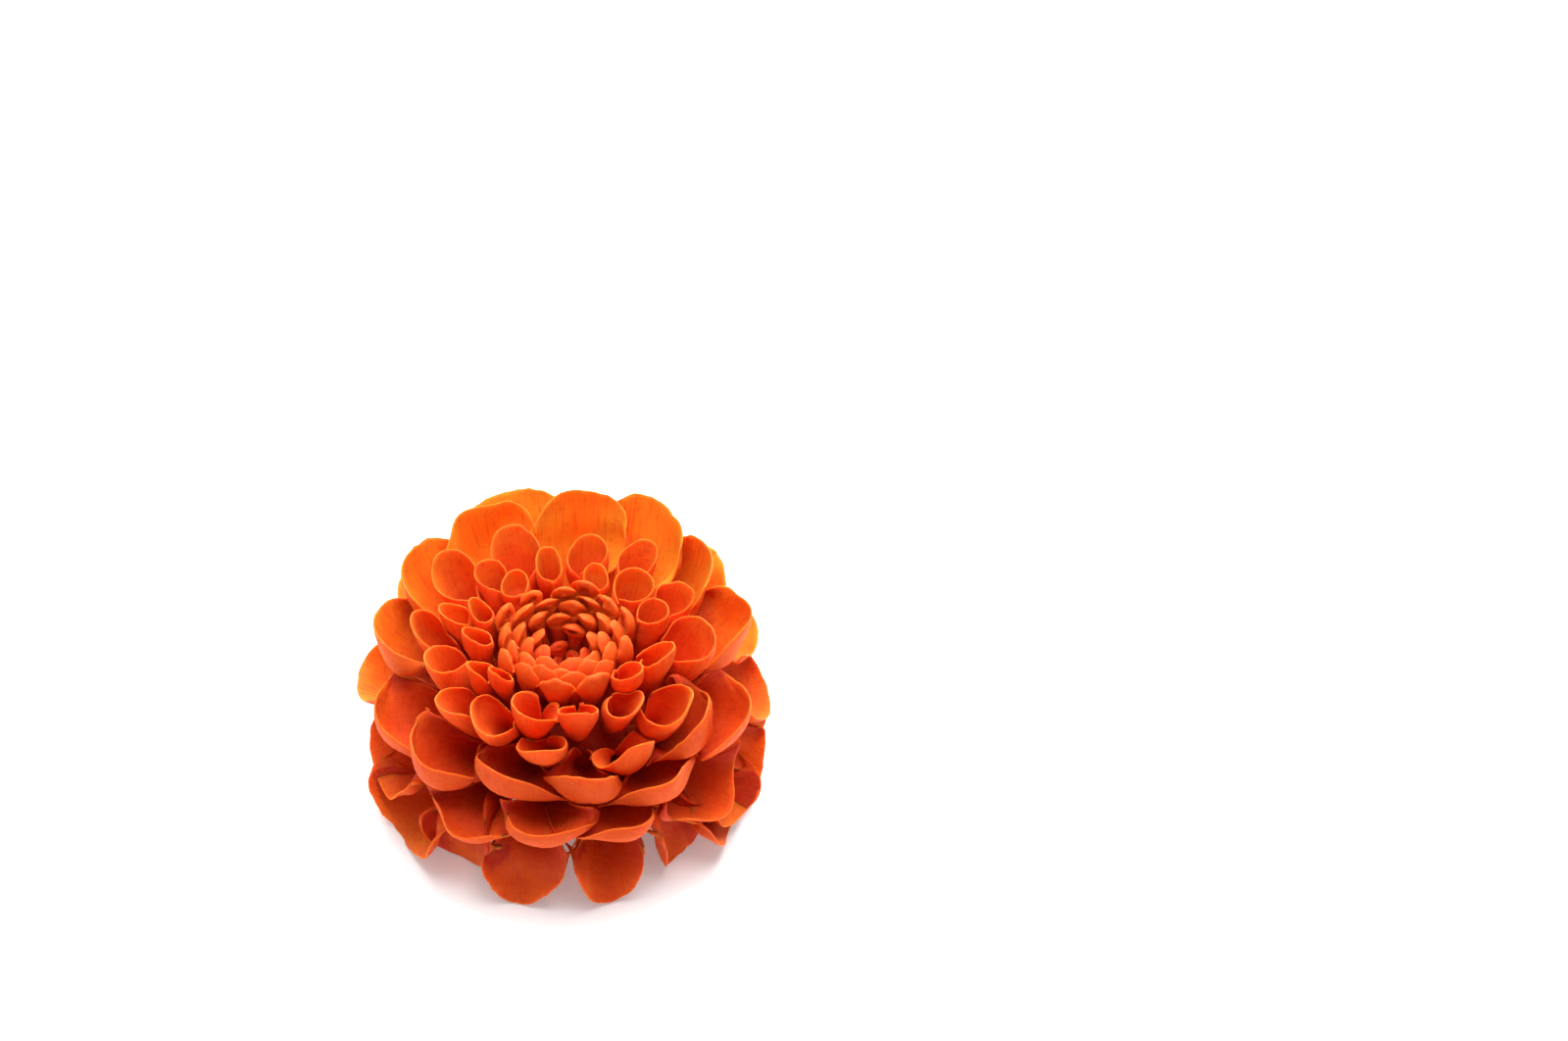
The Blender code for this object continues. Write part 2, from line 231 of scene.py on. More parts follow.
@dataclass
class FloretRow:
    """The florets from the middle outwards: short buds over a hollow, rolled quills, then blades.

    The buds follow a golden-angle spiral. The quills and the blades in front stand where the
    photograph shows them, and the blades behind are spread between them. A layer holds the ranks
    of its first and last blade, and each one's azimuth in degrees. A chart holds values at some
    ranks or, for mouth_roll, at some widths of a mouth.
    """

    buds: int = 46
    golden_angle: float = math.radians(137.508)
    spiral_start: float = math.radians(84.0)
    seed: int = 17
    mouths: tuple[Mouth, ...] = (
        Mouth(605, 569, 35), Mouth(646, 605, 37), Mouth(655, 577, 34), Mouth(606, 599, 24),
        Mouth(563, 576, 28), Mouth(534, 557, 48), Mouth(509, 583, 28), Mouth(475, 576, 44),
        Mouth(535, 599, 25), Mouth(471, 624, 26), Mouth(497, 621, 24), Mouth(446, 627, 36),
        Mouth(487, 648, 25), Mouth(454, 668, 38), Mouth(488, 678, 24, 0.20), Mouth(468, 706, 40, 0.18),
        Mouth(501, 715, 46, 0.24), Mouth(536, 715, 48, 0.34), Mouth(583, 725, 35, 0.26),
        Mouth(629, 715, 38, 0.20), Mouth(676, 716, 52, 0.17), Mouth(633, 745, 74, 0.27),
        Mouth(550, 744, 44, 0.30), Mouth(667, 678, 32, 0.18), Mouth(701, 659, 54), Mouth(664, 635, 29),
        Mouth(682, 615, 36), Mouth(635, 690, 27, 0.20), Mouth(511, 685, 20, 0.20),
    )
    layers: tuple[tuple[float, float, tuple[float, ...]], ...] = (
        (78, 91, (-79, -114, -38, 85, 60, 33, 118, 8, 148, -57, -140, -24, 172, -165)),
        (92, 104, (-101, -76, 100, 47, -125, 133, 20, -47, 72, 160, -4, -158, -28)),
        (105, 117, (110, 15, -35, 75, -150, -130, 45, 176, -10, 145, -60, -108, -84)),
    )
    stations: tuple[Station, ...] = (
        Station(0, (0.03, 0.54), (0.04, 0.60), (0.03, 0.66), 0.030),
        Station(4, (0.07, 0.54), (0.10, 0.64), (0.07, 0.71), 0.034),
        Station(7, (0.10, 0.54), (0.24, 0.77), (0.10, 0.83), 0.042),
        Station(20, (0.15, 0.53), (0.33, 0.81), (0.18, 0.89), 0.047),
        Station(45, (0.21, 0.51), (0.43, 0.82), (0.30, 0.94), 0.052),
        Station(46, (0.21, 0.48), (0.42, 0.72), (0.39, 0.94), 0.165),
        Station(56, (0.22, 0.44), (0.47, 0.66), (0.48, 0.95), 0.220),
        Station(68, (0.24, 0.37), (0.58, 0.55), (0.63, 0.94), 0.310),
        Station(77, (0.25, 0.32), (0.69, 0.45), (0.77, 0.90), 0.375),
        Station(86, (0.25, 0.29), (0.75, 0.40), (0.90, 0.78), 0.395),
        Station(94, (0.25, 0.27), (0.78, 0.38), (0.96, 0.62), 0.395),
        Station(101, (0.25, 0.25), (0.80, 0.38), (0.97, 0.38), 0.385),
        Station(107, (0.25, 0.21), (0.78, 0.35), (0.95, 0.10), 0.375),
        Station(112, (0.24, 0.19), (0.74, 0.27), (0.93, -0.05), 0.365),
        Station(117, (0.24, 0.18), (0.72, 0.27), (0.90, -0.02), 0.350),
    )
    quill_ranks: tuple[float, ...] = (46, 56, 68, 77)
    mouth_roll: Chart = ((24, 190), (44, 186), (54, 165), (76, 100))
    roll: Chart = ((78, 118), (86, 100), (94, 94), (101, 90), (117, 95))
    full_share: Chart = ((78, 1.0), (117, 0.6))
    roll_share: Chart = ((78, 0.7), (90, 0.5), (104, 0.4))
    wider_below: float = 0.04
    lift: Chart = ((78, 0.0), (88, 0.05), (104, 0.06), (107, 0.03))
    lean_share: Chart = ((70, 0.0), (90, 1.0), (101, 1.0), (107, 0.0))
    lean_side: float = 0.07
    lean_back: float = 0.14
    lean_at_bend: float = 0.35
    vary_azimuth: float = math.radians(4)
    vary_width: float = 0.09
    vary_reach: float = 0.05
    vary_height: float = 0.035
    vary_roll: float = 0.12
    vary_twist: float = math.radians(30)
    bud_fullness: float = 0.16
    front_fullness: float = 0.24
    front_roll: float = 0.42

    @staticmethod
    def between(chart: Sequence[Pair], place: float) -> float:
        """The value at this place, straight between the nearest ones of the chart."""
        return float(np.interp(place, *zip(*chart)))

    def read(self, rank: float, value: Callable[[Station], float]) -> float:
        """What value takes from a station, between stations and in metres."""
        chart = [(station.rank, value(station)) for station in self.stations]
        return HEAD_RADIUS * self.between(chart, rank)

    def point(self, rank: float, name: str) -> Array:
        """A point of the midrib as (distance from the axis, height)."""
        return np.array([self.read(rank, lambda station, i=i: getattr(station, name)[i]) for i in (0, 1)])

    def quill_rank(self, mouth: Mouth) -> float:
        """The rank at which a quill's sheet reaches as far out as this one's."""
        chart = [(place.tip[0], place.rank) for place in self.stations if place.rank in self.quill_ranks]
        return self.between(chart, mouth.reach)

    def form(self, index: int, rank: float, azimuth: float, mouth: Mouth | None, draw: random.Random) -> Form:
        """The form of one floret.

        Args:
            index: Its number, counted from the middle outwards.
            rank: Its place between the stations.
            azimuth: The direction that it stands in.
            mouth: Its mouth, if it is a quill.
            draw: The row's own draws, six for each floret in a fixed order.

        Returns:
            Its form.
        """
        fate = Fate.QUILL if mouth else Fate.BUD if index < self.buds else Fate.BLADE
        loose = rank / LAST_RANK
        turn, wider, further, higher, rounder, twist = (draw.uniform(-1, 1) for _ in range(6))
        root, bend, tip = (self.point(rank, name) for name in ("root", "bend", "tip"))
        if mouth:
            roll = math.radians(self.between(self.mouth_roll, mouth.width))
            half_width = HEAD_RADIUS * 0.5 * mouth.wide * roll
            tip[0] = HEAD_RADIUS * mouth.rim
        else:
            azimuth += self.vary_azimuth * turn
            front = -math.sin(azimuth)
            in_front = max(0.0, front)
            half_width = self.read(rank, lambda station: station.half_width) * (1 + self.vary_width * wider)
            roll = math.radians(self.between(self.roll, rank)) * (1 + self.vary_roll * rounder)
            tip[0] *= 1 + self.vary_reach * loose * further
            if fate is Fate.BUD:
                half_width *= 1 + self.bud_fullness * in_front
            else:
                tip[1] += HEAD_RADIUS * self.between(self.lift, rank) * in_front
                half_width *= 1 + self.front_fullness * self.between(self.full_share, rank) * in_front
                half_width *= 1 + self.wider_below * float(smooth(rank, 100, 107)) * in_front
                roll *= 1 + self.front_roll * self.between(self.roll_share, rank) * front
        lean = HEAD_RADIUS * self.between(self.lean_share, rank)
        lean *= self.lean_side + self.lean_back * math.sin(azimuth)
        tip[1] += lean + HEAD_RADIUS * self.vary_height * loose * higher
        bend[1] += self.lean_at_bend * lean
        twist *= self.vary_twist * loose
        slant = mouth.slant if mouth else 0.0
        return Form(index, rank, fate, azimuth, root, bend, tip, half_width, roll, twist, slant)

    def forms(self) -> list[Form]:
        """Makes the form of every floret.

        Returns:
            The forms, from the middle outwards.
        """
        places = [(rank, self.spiral_start - rank * self.golden_angle, None) for rank in range(self.buds)]
        for mouth in sorted(self.mouths, key=lambda mouth: mouth.reach):
            right, back = mouth.seat
            places.append((self.quill_rank(mouth), math.atan2(back, right), mouth))
        for first, last, azimuths in self.layers:
            ranks = np.linspace(first, last, len(azimuths))
            places += [(float(rank), math.radians(azimuth), None) for rank, azimuth in zip(ranks, azimuths)]
        draw = random.Random(self.seed)
        return [self.form(index, *place, draw) for index, place in enumerate(places)]


# Meshes


@dataclass
class Skin:
    """A mesh that grows patch by patch, with the marks that its finish reads at each point."""

    name: str
    points: list[Array] = field(default_factory=list)
    faces: list[Array] = field(default_factory=list)
    marks: dict[str, list[Array]] = field(default_factory=dict)
    count: int = 0

    def add(self, points: Array, faces: Sequence[Array], **marks: Array | float) -> None:
        """Adds one closed patch.

        Args:
            points: Its points, as a list or a grid.
            faces: Its faces as places in points, in groups of the same number of corners.
            marks: A value at each point, one for each row or one for all, by name.
        """
        shape = points.shape[:-1]
        self.points.append(points.reshape(-1, 3))
        self.faces += [group + self.count for group in faces]
        for name, values in marks.items():
            self.marks.setdefault(name, []).append(np.broadcast_to(values, shape).ravel())
        self.count += math.prod(shape)

    def add_tube(self, points: Array, ids: Array, **marks: Array | float) -> None:
        """Adds a tube with closed ends.

        Args:
            points: Its points, in rows that each run round it.
            ids: The points' numbers, in rows that run the way its faces turn.
            marks: A value at each point, one for each row or one for all, by name.
        """
        self.add(points, [grid_faces(ids, closed=True), *end_caps(ids)], **marks)

    def to_object(self) -> bpy.types.Object:
        """Finishes the mesh, shaded smooth, with its marks as point attributes.

        Returns:
            The piece that shows it.
        """
        mesh = bpy.data.meshes.new(self.name)
        faces = [face for group in self.faces for face in group.tolist()]
        mesh.from_pydata(np.concatenate(self.points).tolist(), [], faces)
        for name, values in self.marks.items():
            mark = mesh.attributes.new(name, "FLOAT", "POINT")
            mark.data.foreach_set("value", np.concatenate(values).astype(np.float32))
        mesh.validate()
        mesh.update()
        mesh.shade_smooth()
        piece = bpy.data.objects.new(self.name, mesh)
        bpy.context.scene.collection.objects.link(piece)
        return piece


def numbered(rows: int, columns: int) -> Array:
    """The numbers of a grid's points."""
    return np.arange(rows * columns).reshape(rows, columns)


def grid_faces(ids: Array, closed: bool = False) -> Array:
    """The four-cornered faces of a grid of point numbers.

    Args:
        ids: The grid, rows by columns.
        closed: Whether the last column meets the first.

    Returns:
        The faces, one row each.
    """
    if closed:
        ids = np.concatenate([ids, ids[:, :1]], axis=1)
    corners = (ids[:-1, :-1], ids[:-1, 1:], ids[1:, 1:], ids[1:, :-1])
    return np.stack([corner.ravel() for corner in corners], axis=1)


def end_caps(ids: Array) -> list[Array]:
    """Faces that close the ends of a tube.

    Args:
        ids: The numbers of its points, in rows that each run round it.

    Returns:
        The faces at both ends, in groups of the same number of corners.
    """
    caps = []
    half = ids.shape[1] // 2
    for row, turn in ((ids[0], -1), (ids[-1], 1)):
        left, right = row[1:half], row[:half:-1]
        caps.append(grid_faces(np.stack([left, right]))[:, ::turn])
        ends = [[row[0], row[1], row[-1]], [row[half], row[half + 1], row[half - 1]]]
        caps.append(np.array(ends)[:, ::turn])
    return caps


def rim_order(rows: int, columns: int) -> tuple[Array, Array]:
    """The points round the edge of a grid.

    Args:
        rows: How many rows the grid has.
        columns: How many columns it has.

    Returns:
        Their numbers in order, and the numbers of the inner points behind them.
    """
    ids = numbered(rows, columns)
    edge = [ids[0, :-1], ids[:-1, -1], ids[-1, :0:-1], ids[:0:-1, 0]]
    inside = [ids[1, :-1], ids[:-1, -2], ids[-2, :0:-1], ids[:0:-1, 1]]
    return np.concatenate(edge), np.concatenate(inside)


def normals_of(surface: Array) -> Array:
    """Unit normals of a grid of points.

    Args:
        surface: The points, rows by columns by three.

    Returns:
        The normals, on the side from which the rows run left of the columns.
    """
    along = np.gradient(surface, axis=0)
    across = np.gradient(surface, axis=1)
    normal = np.cross(along, across)
    return normal / np.maximum(np.linalg.norm(normal, axis=2, keepdims=True), 1e-12)


def turned(outline: Sequence[Pair], rings: int, around: int) -> tuple[Array, Array, Array]:
    """Places rings along the outline of a body that is turned round the head's axis.

    Args:
        outline: Its corners as radius and height.
        rings: How many rings it gets.
        around: How many points each ring has.

    Returns:
        The rings' radii and heights as columns, and the points' angles as a row.
    """
    ring = np.linspace(0, len(outline) - 1, rings)
    radius, height = (np.interp(ring, range(len(outline)), values)[:, None] for values in zip(*outline))
    return radius, height, np.linspace(0, 2 * np.pi, around, endpoint=False)[None, :]


def round_axis(radius: Array, height: Array, angle: Array, swell: Array) -> Array:
    """The points of rings round the head's axis, from sizes in head radii; swell widens them by a share."""
    reach = HEAD_RADIUS * radius * (1 + swell)
    return np.stack([reach * np.cos(angle), reach * np.sin(angle), HEAD_RADIUS * height + 0 * angle], axis=2)


# Florets


@dataclass
class Sheet:
    """The midrib and cross-section that any floret's sheet follows, with numpy grids of places.

    The sheet is laid out flat first: along runs from root to tip and across from margin to margin.
    Its heading across turns with the roll, so that the margins rise over the midrib's upper side.
    """

    form: Form
    claw_share: float = 0.24
    widest_at: float = 0.85
    claw_power: float = 3.0
    claw_roll: float = math.radians(172)
    unrolls_by: float = 0.80
    tip_curl: float = 0.0
    lopsided: float = 0.0
    left_curl: float = 0.0
    right_curl: float = 0.0
    curl_from: float = 0.45
    fold: float = 0.0
    fold_phase: float = 0.0
    crease: float = 0.0

    def width_share(self, along: Array) -> Array:
        """The flat width along the midrib, as a share of its widest."""
        claw = np.sin(0.5 * np.pi * np.minimum(1.0, along / self.widest_at)) ** self.claw_power
        return self.claw_share + (1 - self.claw_share) * claw

    def roll_at(self, along: Array) -> Array:
        """How far the sheet is rolled either way, from a tube at the claw to the form's own roll."""
        return self.claw_roll + (self.form.roll - self.claw_roll) * smooth(along, 0.25, self.unrolls_by)

    def midrib(self, steps: int = 200) -> tuple[Array, Array, Array, Array]:
        """The midrib with its tip curl, sampled evenly.

        Args:
            steps: How many places are sampled.

        Returns:
            The places along, the distances from the axis, the heights and the headings.
        """
        along = np.linspace(0, 1, steps)
        root, bend, tip = self.form.root, self.form.bend, self.form.tip
        rate = 2 * ((1 - along)[:, None] * (bend - root) + along[:, None] * (tip - bend))
        speed = np.linalg.norm(rate, axis=1)
        heading = np.unwrap(np.arctan2(rate[:, 1], rate[:, 0]))
        heading += self.tip_curl * (smooth(along, 0.62, 1.0) - 0.35 * smooth(along, 0.30, 0.62))
        step = 1.0 / (steps - 1)
        pace = np.stack([speed * np.cos(heading), speed * np.sin(heading)], axis=1)
        middle = 0.5 * (pace[1:] + pace[:-1]) * step
        track = root + np.concatenate([np.zeros((1, 2)), np.cumsum(middle, axis=0)])
        return along, track[:, 0], track[:, 1], heading

    def section(self, along: Array, share: Array) -> tuple[Array, Array]:
        """The rolled cross-section at each place of the grid.

        Args:
            along: The place along the midrib.
            share: The place across, from -1 to 1, rising along each grid row.

        Returns:
            How far each place lies to the side of the midrib, and how far above it.
        """
        half = self.form.half_width * self.width_share(along)
        crease = self.crease * smooth(along, 0.3, 0.6)
        heading = (self.roll_at(along) - crease) * (share - 0.5 * self.lopsided * share**2)
        heading += crease * np.tanh(share / 0.12)
        ends = smooth(along, self.curl_from, 0.95)
        free = ends * min(1.0, 2.0 * max(0.0, 1 - self.form.roll / 3.2))
        heading += self.right_curl * free * np.maximum(0.0, (share - 0.45) / 0.55) ** 2
        heading -= self.left_curl * free * np.maximum(0.0, (-share - 0.45) / 0.55) ** 2
        heading += self.fold * ends * np.sin(2.4 * np.pi * share + self.fold_phase)
        length = half * share
        flat = np.diff(length, axis=1)
        turn = 0.5 * (heading[:, 1:] + heading[:, :-1])
        start = np.zeros((len(along), 1))
        side = np.concatenate([start, np.cumsum(flat * np.cos(turn), axis=1)], axis=1)
        rise = np.concatenate([start, np.cumsum(flat * np.sin(turn), axis=1)], axis=1)
        middle = side.shape[1] // 2
        return side - side[:, middle:middle + 1], rise - rise[:, middle:middle + 1]

    def edge(self, along: Array, share: Array, ends: Array, length: float) -> Array:
        """How far each place lies from the sheet's nearest edge.

        Args:
            along: The place along the midrib at each grid point.
            share: The place across it.
            ends: Where along the midrib each column ends.
            length: How long the sheet is.

        Returns:
            The distances in mm.
        """
        to_margin = (1 - np.abs(share)) * self.form.half_width * self.width_share(along)
        return np.minimum(to_margin, (ends[None, :] - along) * length) / MM

    def surface(self, along: Array, share: Array) -> Array:
        """The sheet's middle surface.

        Args:
            along: The place along the midrib at each grid point.
            share: The place across it.

        Returns:
            The points, rows by columns by three.
        """
        place, distance, height, heading = self.midrib()
        side, rise = self.section(along, share)
        turn = self.form.twist * along
        across = side * np.cos(turn) - rise * np.sin(turn)
        lifted = side * np.sin(turn) + rise * np.cos(turn)
        rib_distance = np.interp(along, place, distance)
        rib_height = np.interp(along, place, height)
        rib_heading = np.interp(along, place, heading)
        distance = rib_distance - lifted * np.sin(rib_heading)
        height = rib_height + lifted * np.cos(rib_heading)
        return at_azimuth(self.form.azimuth, distance, across, height)


def add_shell(skin: Skin, surface: Array, thickness: Array, marks: Mapping[str, Array | float]) -> None:
    """Adds a thin closed shell round a sheet's middle surface, with a rounded rim.

    Args:
        skin: The mesh that it joins.
        surface: The sheet's middle surface, rows by columns by three.
        thickness: How thick it is at each grid point.
        marks: A value at each grid point, or one for all, by name.
    """
    rows, columns, _ = surface.shape
    normal = normals_of(surface)
    half = 0.5 * thickness[:, :, None] * normal
    under = (surface - half).reshape(-1, 3)
    over = (surface + half).reshape(-1, 3)
    edge, inside = rim_order(rows, columns)
    flat = surface.reshape(-1, 3)
    out = flat[edge] - flat[inside]
    out /= np.maximum(np.linalg.norm(out, axis=1, keepdims=True), 1e-12)
    rim = flat[edge] + 0.5 * thickness.ravel()[edge, None] * out
    count = rows * columns
    ids = numbered(rows, columns)
    rim_ids = 2 * count + np.arange(len(edge))
    below = np.stack([edge, rim_ids])
    above = np.stack([rim_ids, count + edge])
    faces = [grid_faces(ids), grid_faces(ids + count)[:, ::-1]]
    faces += [grid_faces(below, closed=True)[:, ::-1], grid_faces(above, closed=True)[:, ::-1]]
    spread = {}
    for name, values in marks.items():
        values = np.broadcast_to(values, (rows, columns)).ravel()
        spread[name] = np.concatenate([values, values, values[edge]])
    spread["upper"] = np.concatenate([np.zeros(count), np.ones(count), np.full(len(edge), 0.5)])
    skin.add(np.concatenate([under, over, rim]), faces, **spread)


@dataclass
class Nest:
    """How far out each direction is already filled, so that every floret lies outside the last.

    Directions are azimuth and distance from the middle of the receptacle. What is kept there is
    the widest angle from the axis that the florets so far reach.
    """

    middle: float = 0.30 * HEAD_RADIUS
    turns: int = 720
    step: float = 0.5 * MM
    reach: float = 60 * MM
    clearance: float = 0.12 * MM

    def __post_init__(self) -> None:
        """Starts with nothing filled."""
        self.filled = np.zeros((self.turns, int(self.reach / self.step)))

    def polar(self, surface: Array) -> tuple[Array, Array, Array]:
        """Turns points into directions and distances.

        Args:
            surface: The points.

        Returns:
            Each one's azimuth, distance and angle from the axis.
        """
        x, y, z = surface[..., 0], surface[..., 1], surface[..., 2] - self.middle
        distance = np.sqrt(x * x + y * y + z * z)
        return np.arctan2(y, x), distance, np.arccos(np.clip(z / distance, -1, 1))

    def bins(self, azimuth: Array, distance: Array) -> tuple[Array, Array]:
        """The cell of the map that each point falls in."""
        turn = np.floor(azimuth / (2 * np.pi) * self.turns).astype(int) % self.turns
        return turn, np.minimum((distance / self.step).astype(int), self.filled.shape[1] - 1)

    def settle(
        self, surface: Array, along: Array, stiffness: int, rigid: float, gives: Pair, slack: int = 0
    ) -> Array:
        """Moves a sheet outwards, clear of the florets that are already there.

        Args:
            surface: The sheet's middle surface.
            along: The place along the midrib at each grid point.
            stiffness: How many times the move is spread over the sheet.
            rigid: How far a whole cross-section moves together, as a tube does.
            gives: Between which places along the midrib the sheet starts to give way.
            slack: How many cells of the map it may reach in beside a neighbour.

        Returns:
            The settled surface.
        """
        azimuth, distance, angle = self.polar(surface)
        cell = self.bins(azimuth, distance)
        filled = np.minimum.reduce([np.roll(self.filled, step, 0) for step in range(-slack, slack + 1)])
        needed = np.maximum(0.0, filled[cell] + self.clearance / distance - angle)
        needed *= smooth(along, *gives)
        needed = np.maximum(needed, rigid * needed.max(axis=1, keepdims=True))
        push = needed
        for _ in range(stiffness):
            push = np.maximum(needed, neighbour_mean(push))
        angle = angle + push
        around = distance * np.sin(angle)
        settled = [around * np.cos(azimuth), around * np.sin(azimuth), self.middle + distance * np.cos(angle)]
        return np.stack(settled, axis=2)

    def gap(self, surface: Array) -> Array:
        """How far each point of a settled sheet lies outside the florets that are already there."""
        azimuth, distance, angle = self.polar(surface)
        return (angle - self.filled[self.bins(azimuth, distance)]) * distance

    def fill(self, surface: Array, thickness: float) -> None:
        """Marks what a settled sheet fills.

        Args:
            surface: The sheet's middle surface.
            thickness: How thick it is.
        """
        fine = surface
        for axis in (0, 1):
            fine = np.repeat(fine, 2, axis=axis)
            odd, before, after = ([slice(None)] * 3 for _ in range(3))
            odd[axis], before[axis], after[axis] = slice(1, -1, 2), slice(0, -2, 2), slice(2, None, 2)
            fine[tuple(odd)] = 0.5 * (fine[tuple(before)] + fine[tuple(after)])
        azimuth, distance, angle = self.polar(fine)
        own = np.zeros_like(self.filled)
        np.maximum.at(own, self.bins(azimuth, distance), angle + 0.5 * thickness / distance)
        for _ in range(2):
            own = np.maximum.reduce([own, np.roll(own, 1, 0), np.roll(own, -1, 0)])
        own[:, 1:] = np.maximum(own[:, 1:], own[:, :-1])
        self.filled = np.maximum(self.filled, own)


@dataclass
class Petal:
    """One quill or blade, with the small departures that make it its own."""

    form: Form
    seed: int
    rows: int = 40
    columns: int = 35
    thickness: float = 0.42 * MM
    stiffness: int = 40

    def dress(self) -> tuple[Sheet, random.Random]:
        """Gives this floret its drawn curls.

        Returns:
            Its sheet, and the draws that go on from there.
        """
        draw = random.Random(self.seed * 1000 + self.form.index)
        form = self.form
        if form.fate is Fate.QUILL:
            sheet = Sheet(
                form,
                claw_roll=math.radians(190),
                unrolls_by=0.9,
                lopsided=draw.choice((-1, 1)) * draw.uniform(0.06, 0.12),
                tip_curl=draw.uniform(-0.15, 0.1) + 0.3 * float(smooth(form.rank, 74, 77)),
                fold=draw.uniform(0.10, 0.34),
                fold_phase=draw.uniform(0, 2 * math.pi),
            )
            return sheet, draw
        facing = 0.5 + 0.5 * form.front
        in_front = max(0.0, form.front)
        hanging = float(smooth(form.rank, 99, 107))
        sheet = Sheet(
            form,
            claw_share=0.26,
            widest_at=0.77,
            claw_power=2.9,
            tip_curl=0.1 + 0.8 * facing * (1 - 0.8 * hanging) + draw.uniform(-0.2, 0.3),
            lopsided=draw.uniform(-0.30, 0.30),
            left_curl=draw.uniform(-0.3, 0.6),
            right_curl=draw.uniform(-0.3, 0.6),
            fold=draw.uniform(0.0, 0.14) + 0.2 * in_front,
            fold_phase=draw.uniform(0, 2 * math.pi),
            crease=0.12 + 0.18 * hanging * in_front,
        )
        curled = draw.random()
        if curled < 0.2:
            sheet.right_curl += draw.uniform(0.4, 0.9)
            sheet.left_curl -= 0.3
        elif curled < 0.4:
            sheet.left_curl += draw.uniform(0.4, 0.9)
            sheet.right_curl -= 0.3
        return sheet, draw

    def tip_line(self, share: Array, draw: random.Random) -> Array:
        """Draws the sheet's ragged end.

        Args:
            share: The places across the sheet.
            draw: This floret's draws.

        Returns:
            How far along the midrib the sheet ends at each place.
        """
        apex = draw.uniform(-0.012, 0.022)
        if self.form.fate is Fate.QUILL:
            apex *= 0.2
            wide = smooth(self.form.rank, 46, 77)
            line = 1 - (self.form.slant + 0.06 * wide) * (0.5 - 0.5 * np.cos(np.pi * share))
            line -= (0.02 + 0.06 * wide) * np.abs(share) ** 9
            apex += 0.25 * max(0.0, self.form.slant - 0.2)
        else:
            hanging = float(smooth(self.form.rank, 97, 106))
            squareness = draw.uniform(2.0, 2.6) - 0.75 * hanging
            round_end = np.maximum(0.0, 1 - np.abs(share) ** squareness) ** (1 / squareness)
            line = 1 - (0.30 + 0.24 * hanging) * (1 - round_end)
        line += apex * np.exp(-(share / 0.16) ** 2)
        ragged = waves(draw, share * 10, np.zeros_like(share), 0.5, 2.5)
        return line * (1 + 0.006 * ragged)

    @staticmethod
    def relax(surface: Array, free: Array, rounds: int) -> Array:
        """Smooths a settled sheet where the settling has crumpled it.

        Args:
            surface: The settled sheet's middle surface.
            free: The same sheet before it was settled.
            rounds: How many times each crumpled point moves towards its neighbours' mean.

        Returns:
            The smoothed surface.
        """
        crumple = np.zeros(surface.shape[:2])
        for axis in (0, 1):
            before, after = (np.linalg.norm(np.diff(sheet, axis=axis), axis=2) for sheet in (free, surface))
            strain = np.abs(np.log(np.maximum(after, 1e-6) / np.maximum(before, 1e-6)))
            for end in ((0, 1), (1, 0)):
                ends = (end, (0, 0)) if axis == 0 else ((0, 0), end)
                crumple = np.maximum(crumple, np.pad(strain, ends))
        share = smooth(crumple, 0.35, 0.9)
        for _ in range(4):
            around = sum(np.roll(share, step, axis) for axis in (0, 1) for step in (-1, 1))
            share = np.maximum(share, around / 4)
        relaxed = surface.copy()
        for _ in range(rounds):
            relaxed += 0.5 * share[:, :, None] * (neighbour_mean(relaxed) - relaxed)
        return relaxed

    def lie_on_table(self, surface: Array, along: Array) -> Array:
        """Bends a sheet up from the table where it would reach below it.

        Args:
            surface: The sheet's middle surface.
            along: The place along the midrib at each grid point.

        Returns:
            The surface, with its lowest part just on the table.
        """
        low = 0.5 * self.thickness + 0.02 * MM
        below = float(low - surface[:, :, 2].min())
        raised = surface.copy()
        if below > 0:
            log.debug("floret %d bends up by %.1f mm", self.form.index, below / MM)
            raised[:, :, 2] += below * smooth(along, 0.2, 0.8)
        raised[:, :, 2] = low + soft_floor(raised[:, :, 2] - low, 0.3 * MM)
        return raised

    def settled(self, free: Array, along: Array, nest: Nest) -> Array:
        """Settles the sheet outside its neighbours and above the table.

        Args:
            free: The middle surface of the sheet as it would hang alone.
            along: The place along the midrib at each grid point.
            nest: What the florets so far fill.

        Returns:
            The settled surface.
        """
        if self.form.fate is Fate.QUILL:
            surface = nest.settle(free, along, self.stiffness, rigid=0.8, gives=(0.5, 0.7), slack=8)
            local = 4
        else:
            rigid = 0.85 * float(smooth(self.form.rank, 92, 105))
            slack = 3 + round(7 * rigid)
            surface = nest.settle(free, along, self.stiffness, rigid, gives=(0.1, 0.3), slack=slack)
            surface = self.relax(surface, free, rounds=40)
            local = 14
        surface = nest.settle(surface, along, local, rigid=0.0, gives=(0.15, 0.35))
        return self.lie_on_table(self.relax(surface, free, rounds=16), along)

